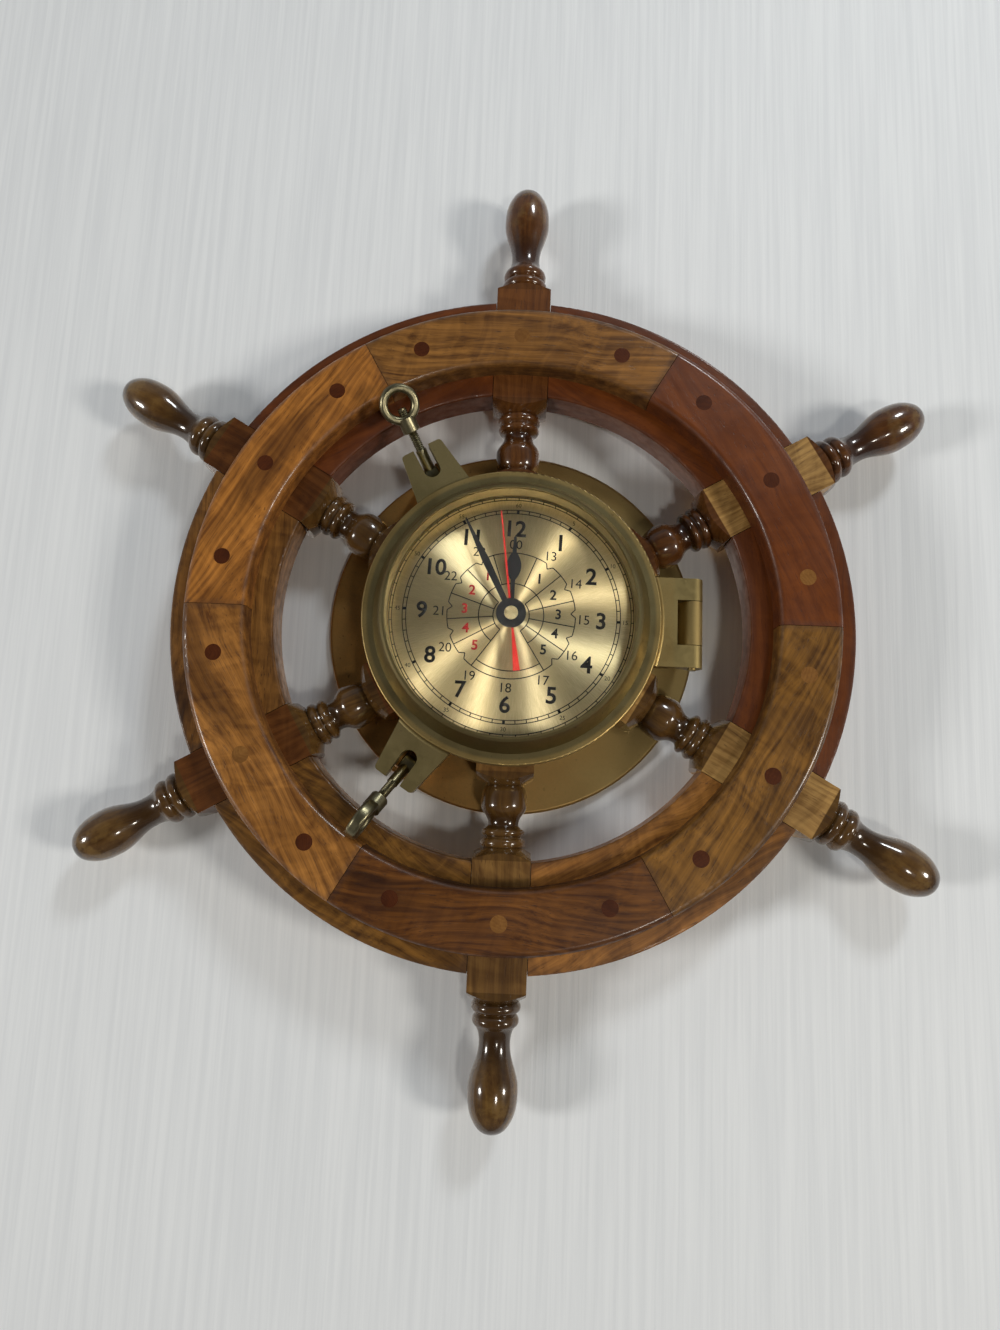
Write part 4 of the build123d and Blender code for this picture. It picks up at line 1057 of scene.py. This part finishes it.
    def text(self, words: str, radius: float, angle: float, tall: float, bold: float = 0.0) -> None:
        """Print an upright number.

        Args:
            words: the figures.
            radius: how far from the middle.
            angle: clockwise angle.
            tall: height of the figures.
            bold: how much the strokes are widened.
        """
        self._begin()
        bpy.ops.object.text_add()
        piece = bpy.context.object
        piece.data.body = words
        piece.data.align_x = "CENTER"
        piece.data.align_y = "CENTER"
        piece.data.resolution_u = self.curve_steps
        piece.data.offset = bold
        bpy.ops.object.convert(target="MESH")
        piece = bpy.context.object
        sides = [vertex.co.x for vertex in piece.data.vertices]
        heights = [vertex.co.y for vertex in piece.data.vertices]
        left, right = min(sides), max(sides)
        low, high = min(heights), max(heights)
        size = tall / (high - low)
        across, up = self.spot(radius, angle)
        piece.scale = (size, size, 1.0)
        piece.location = (across - size * (left + right) / 2, up - size * (low + high) / 2, 0.0)
        bpy.ops.object.transform_apply(location=True, rotation=True, scale=True)
        bpy.ops.object.mode_set(mode="EDIT")
        bpy.ops.mesh.select_all(action="SELECT")
        bpy.ops.mesh.remove_doubles(threshold=self.merge_reach)
        self._thicken()
        self._keep()

    @staticmethod
    def spot(radius: float, angle: float) -> tuple[float, float]:
        """Turn a radius and a clockwise angle from the top into flat X and Y."""
        return radius * math.sin(math.radians(angle)), radius * math.cos(math.radians(angle))

    def finish(self, name: str, material: bpy.types.Material, slot: str) -> None:
        """Join the parts, lay them on the dial and let them ride on the case.

        Args:
            name: the piece's name.
            material: its ink.
            slot: not used.
        """
        self._begin()
        for part in self.parts:
            part.select_set(True)
        bpy.context.view_layer.objects.active = self.parts[0]
        bpy.ops.object.join()
        piece = bpy.context.object
        piece.rotation_euler = (math.radians(QUARTER_TURN), math.radians(self.turn), 0.0)
        piece.location = (0.0, -self.height, 0.0)
        bpy.ops.object.transform_apply(location=True, rotation=True, scale=True)
        piece.name = name
        piece.data.materials.clear()
        piece.data.materials.append(material)
        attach(piece, ROOT)
        LOG.info("printed %s", name)


@dataclass(frozen=True)
class Sunray:
    """Gold brushed outward from the dial's middle, so that light fans out in rays, with painted rays of
    light and shade in its colour.
    """

    name: str = "sunray_gold"
    gold: Colour = (0.70, 0.575, 0.30)
    gold_light: Colour = (0.92, 0.79, 0.47)
    gold_dark: Colour = (0.62, 0.49, 0.23)
    hairs_round: float = 40.0
    hairs_along: float = 30.0
    hairs: Layer = Layer(4.0, 4.0, 0.7)
    hair_low: float = 0.3
    hair_high: float = 0.7
    fans: Layer = Layer(3.0, 3.0, 0.6)
    fan_band: Band = Band(0.35, 0.65, 0.0, 0.4)
    rough_low: float = 0.38
    rough_high: float = 0.45
    bump: float = 0.04
    bump_depth: float = 0.1 * MM

    def material(self) -> bpy.types.Material:
        """Build the dial's gold.

        Returns:
            The material.
        """
        skin = Skin(self.name)
        pen = skin.pen
        parts = pen.add("SeparateXYZ", {0: skin.place}).outputs
        angle = pen.math("ARCTAN2", parts["X"], parts["Z"])
        ray = pen.add("CombineXYZ", {"X": pen.math("MULTIPLY", angle, self.hairs_round),
                                     "Y": pen.math("MULTIPLY", pen.reach(skin.place), self.hairs_along)})
        hairs = pen.noise(ray.outputs[0], self.hairs)
        wide = pen.add("CombineXYZ", {"X": pen.math("COSINE", angle), "Y": pen.math("SINE", angle)})
        fans = pen.noise(wide.outputs[0], self.fans)
        # Painted sheen: lighter streaks along the brushing hairs, over the brushing's own texture.
        colour = pen.mix(pen.spread(hairs, Band(self.hair_low, self.hair_high)), self.gold, self.gold_light)
        # Painted shade: broad fans of darker gold between the rays.
        colour = pen.mix(pen.spread(fans, self.fan_band), colour, self.gold_dark)
        rough = pen.spread(hairs, Band(self.hair_low, self.hair_high, self.rough_low, self.rough_high))
        skin.cover(colour, rough, hairs, self.bump, self.bump_depth)
        skin.plain({"Metallic": 1.0, "Anisotropic": 1.0})
        tangent = pen.add("Tangent", direction_type="RADIAL", axis="Y")
        pen.feed(skin.shader.inputs["Tangent"], tangent.outputs[0])
        return skin.material


@dataclass
class Dial:
    """The gold dial with its printed tracks, hours and numbered fields."""

    turn: float = 1.7
    ink: float = 0.03 * MM
    line: float = 0.55 * MM
    fan_line: float = 0.62 * MM
    bold: float = 0.022
    track_inner: float = 63.8 * MM
    track_outer: float = 66.5 * MM
    rim_inner: float = 72.4 * MM
    rim_outer: float = 74.6 * MM
    hour_radius: float = 54.5 * MM
    hour_tall: float = 10.4 * MM
    day_radius: float = 44.4 * MM
    day_tall: float = 5.7 * MM
    minute_radius: float = 69.4 * MM
    minute_tall: float = 2.5 * MM
    fan_inner: float = 11.0 * MM
    fan_band: float = 19.8 * MM
    fan_outer: float = 39.0 * MM
    fan_notch: float = 36.2 * MM
    fan_lower: float = 34.2 * MM
    fan_number_radius: float = 28.6 * MM
    fan_number_tall: float = 6.2 * MM
    fan_angles: tuple[float, ...] = (20.0, 47.0, 73.0, 97.0, 121.0, 146.0)
    notch_half: float = 3.6
    hour_tick_lines: int = 3
    black_ink: Paint = Paint((0.010, 0.009, 0.008), (0.020, 0.018, 0.015), 900.0, 0.4, 0.5, bump=0.02,
                             specular=0.15)
    red_ink: Paint = Paint((0.33, 0.018, 0.016), (0.24, 0.014, 0.014), 900.0, 0.5, 0.5, bump=0.02,
                           specular=0.15)

    def build(self) -> None:
        """Dress the dial and print it."""
        dress(("dial_plate", "hub_cap"), Sunray().material())
        face = -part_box("dial_plate")[0].y
        black = Flat(face, self.turn, self.ink)
        red = Flat(face, self.turn, self.ink)
        self.tracks(black)
        self.hours(black)
        self.fans(black, red)
        black.finish("dial_print_black", self.black_ink.material("black_ink"), "hand_black")
        red.finish("dial_print_red", self.red_ink.material("red_ink"), "hand_red")

    def tracks(self, flat: Flat) -> None:
        """Print the minute track and the outer track.

        Args:
            flat: the black print.
        """
        for inner, outer in ((self.track_inner, self.track_outer), (self.rim_inner, self.rim_outer)):
            flat.ring(inner + self.line, self.line)
            flat.ring(outer, self.line)
            flat.ticks(inner, outer, self.line, MINUTES)
        flat.ticks(self.track_inner, self.track_outer, self.hour_tick_lines * self.line, HOURS)
        for five in range(HOURS):
            minute = five * MINUTES // HOURS or MINUTES
            flat.text(str(minute), self.minute_radius, five * HOUR_STEP, self.minute_tall)

    def hours(self, flat: Flat) -> None:
        """Print the hours and the small afternoon hours.

        Args:
            flat: the black print.
        """
        for hour in range(1, HOURS + 1):
            flat.text(str(hour), self.hour_radius, hour * HOUR_STEP, self.hour_tall, self.bold)
            late = "00" if hour == HOURS else str(hour + HOURS)
            flat.text(late, self.day_radius, hour * HOUR_STEP, self.day_tall)

    def fans(self, black: Flat, red: Flat) -> None:
        """Print the fans: numbered fields on both sides and a bare field below.

        Args:
            black: the black print.
            red: the red print.
        """
        width = self.fan_line
        half = self.notch_half
        top, second, bottom = self.fan_angles[0], self.fan_angles[1], self.fan_angles[-1]
        middles = [(first + last) / 2 for first, last in zip(self.fan_angles, self.fan_angles[1:])]
        notches = [-middle for middle in reversed(middles)] + middles
        for first, last in zip(notches, notches[1:] + [FULL_TURN + notches[0]]):
            black.arc(self.fan_outer, first + half, last - half, width)
        for notch in notches:
            for edge in (notch - half, notch + half):
                black.line((self.fan_outer, edge), (self.fan_notch, notch), width)
        for side, flat in ((-1, red), (1, black)):
            for angle in self.fan_angles:
                start = self.fan_band if angle == top else self.fan_inner
                black.line((start, side * angle), (self.fan_outer, side * angle), width)
            black.arc(self.fan_inner, side * second, side * bottom, width)
            for number, middle in enumerate(middles, start=1):
                flat.text(str(number), self.fan_number_radius, side * middle, self.fan_number_tall,
                          self.bold)
        black.arc(self.fan_band, -bottom, bottom, width)
        black.arc(self.fan_lower, bottom, FULL_TURN - bottom, width)
        red.text("0", self.fan_number_radius, 0.0, self.fan_number_tall, self.bold)


@dataclass
class Clockwork:
    """The hands and the quartz movement."""

    black: Paint = Paint((0.012, 0.012, 0.012), (0.024, 0.022, 0.020), 800.0, 0.5, 0.28)
    red: Paint = Paint((0.46, 0.022, 0.016), (0.62, 0.060, 0.040), 1500.0, 0.9, 0.22, coat=0.3)
    moulded: Paint = Paint((0.022, 0.022, 0.024), (0.036, 0.036, 0.038), 1300.0, 0.5, 0.42, bump=0.2)
    natural: Paint = Paint((0.70, 0.67, 0.58), (0.60, 0.56, 0.46), 600.0, 0.4, 0.32)
    copper: Paint = Paint((0.42, 0.15, 0.05), (0.30, 0.10, 0.03), 2500.0, 0.6, 0.30, 0.6, 0.0, 0.4)
    board: Paint = Paint((0.020, 0.110, 0.045), (0.030, 0.150, 0.060), 900.0, 0.6, 0.35)
    jacket: Paint = Paint((0.055, 0.060, 0.075), (0.080, 0.085, 0.100), 600.0, 0.5, 0.25, 0.4, 0.4)

    def dress(self) -> None:
        """Dress the hands and the movement's pieces."""
        dress(("hour_hand", "minute_hand", "hub_disc"), self.black.material("hand_black_paint"))
        dress(("second_hand",), self.red.material("hand_red_paint"))
        dress(("movement_case", "movement_cover", "setting_knob"), self.moulded.material("moulded_black"))
        dress(("motion_wheel", "hour_wheel", "seconds_arbor"), self.natural.material("moulded_natural"))
        dress(("coil",), self.copper.material("coil_wire"))
        dress(("circuit_board",), self.board.material("board_mask"))
        dress(("battery",), self.jacket.material("cell_wrap"))


@dataclass(frozen=True)
class Lamp:
    """A round soft lamp that points at the clock."""

    name: str
    place: Point
    size: float
    power: float
    colour: Colour

    def hang(self) -> None:
        """Hang the lamp."""
        lamp = bpy.data.lights.new(self.name, "AREA")
        lamp.shape = "DISK"
        lamp.size = self.size
        lamp.energy = self.power
        lamp.color = self.colour
        holder = bpy.data.objects.new(self.name, lamp)
        bpy.context.scene.collection.objects.link(holder)
        holder.location = self.place
        holder.rotation_euler = Vector(self.place).to_track_quat("Z", "Y").to_euler()


WARM = (1.0, 0.945, 0.86)
COOL = (0.93, 0.97, 1.0)
PLAIN = (1.0, 0.97, 0.93)


@dataclass
class Stage:
    """The pale wall, the soft lamps and the camera."""

    wall_gap: float = 0.6 * MM
    wall_size: float = 8.0
    focal_px: float = 885.463
    frame_px: float = 1330.0
    sensor: float = 36.0
    camera_place: Point = (5.503 * MM, -579.89 * MM, -112.255 * MM)
    camera_turn: Point = (8.844, 0.824, 2.368)
    lamps: tuple[Lamp, ...] = (
        Lamp("lamp_right", (2.85, -2.15, -0.65), 0.7, 50.0, WARM),
        Lamp("lamp_left", (-2.95, -1.8, -0.72), 0.7, 48.0, PLAIN),
        Lamp("lamp_window", (0.84, -1.46, 1.70), 0.4, 15.0, COOL),
        Lamp("lamp_low", (0.75, -2.3, -1.05), 0.3, 9.0, WARM),
        Lamp("lamp_back_right", (1.2, 1.5, 0.9), 0.9, 22.0, WARM),
        Lamp("lamp_back_left", (-1.2, 1.5, -0.3), 0.9, 18.0, WARM))
    room_low: Colour = (0.15, 0.14, 0.13)
    room_high: Colour = (0.26, 0.275, 0.29)
    room_heights: Band = Band(-0.5, 0.7)
    room_front: Band = Band(-0.85, -0.5, 0.3, 1.0)
    wall_brush: Layer = Layer(240.0, 4.0, 0.6, stretch=(1.0, 0.02, 1.0))
    wall_band: Band = Band(0.3, 0.7)
    wall_grey: Colour = (0.735, 0.765, 0.79)
    wall_white: Colour = (0.81, 0.84, 0.86)
    wall_rough: float = 0.6
    wall_bump: float = 0.4
    wall_bump_depth: float = 0.6 * MM
    clip_start: float = 0.01
    clip_end: float = 50.0

    def build(self) -> None:
        """Build the stage."""
        bpy.context.scene.view_settings.view_transform = "Standard"
        self.wall()
        self.room()
        for lamp in self.lamps:
            lamp.hang()
        self.camera()

    def wall(self) -> None:
        """Put a pale wall just behind the wheel, open to view from behind."""
        bpy.ops.object.select_all(action="DESELECT")
        bpy.ops.mesh.primitive_plane_add(size=self.wall_size, location=(0.0, self.wall_gap, 0.0),
                                         rotation=(math.radians(QUARTER_TURN), 0.0, 0.0))
        wall = bpy.context.object
        wall.name = "wall"
        wall.visible_shadow = False
        skin = Skin("pale_wall")
        brushed = skin.pen.noise(skin.place, self.wall_brush)
        colour = skin.pen.mix(skin.pen.spread(brushed, self.wall_band), self.wall_grey, self.wall_white)
        skin.cover(colour, self.wall_rough, brushed, self.wall_bump, self.wall_bump_depth)
        clear = skin.pen.add("BsdfTransparent").outputs[0]
        back = skin.pen.add("NewGeometry").outputs["Backfacing"]
        skin.blend(back, skin.shader.outputs[0], clear)
        wall.data.materials.append(skin.material)

    def room(self) -> None:
        """Set the room's light, darker toward the floor and straight in front of the clock."""
        world = bpy.data.worlds.new("room")
        world.use_nodes = True
        pen = NodePen(world.node_tree)
        way = pen.add("SeparateXYZ", {0: pen.add("TexCoord").outputs["Generated"]}).outputs
        light = pen.mix(pen.spread(way["Z"], self.room_heights), self.room_low, self.room_high)
        shade = pen.spread(way["Y"], self.room_front)
        background = world.node_tree.nodes["Background"]
        pen.feed(background.inputs["Color"], light)
        pen.feed(background.inputs["Strength"], shade)
        bpy.context.scene.world = world

    def camera(self) -> None:
        """Set the camera where the photograph was taken."""
        data = bpy.data.cameras.new("camera")
        data.sensor_width = self.sensor
        data.lens = self.focal_px / self.frame_px * self.sensor
        data.clip_start = self.clip_start
        data.clip_end = self.clip_end
        camera = bpy.data.objects.new("camera", data)
        bpy.context.scene.collection.objects.link(camera)
        bpy.context.scene.camera = camera
        to_model = Matrix(((1.0, 0.0, 0.0), (0.0, 0.0, -1.0), (0.0, 1.0, 0.0)))
        turn = Euler(tuple(math.radians(part) for part in self.camera_turn), "XYZ").to_matrix()
        camera.matrix_world = Matrix.Translation(self.camera_place) @ (to_model @ turn).to_4x4()


def main() -> None:
    """Build the looks in order."""
    logging.basicConfig(level=logging.INFO, format="%(name)s: %(message)s")
    Stage().build()
    Wheel().dress()
    Porthole().dress()
    Dial().build()
    Clockwork().dress()


if __name__ == "__main__":
    main()
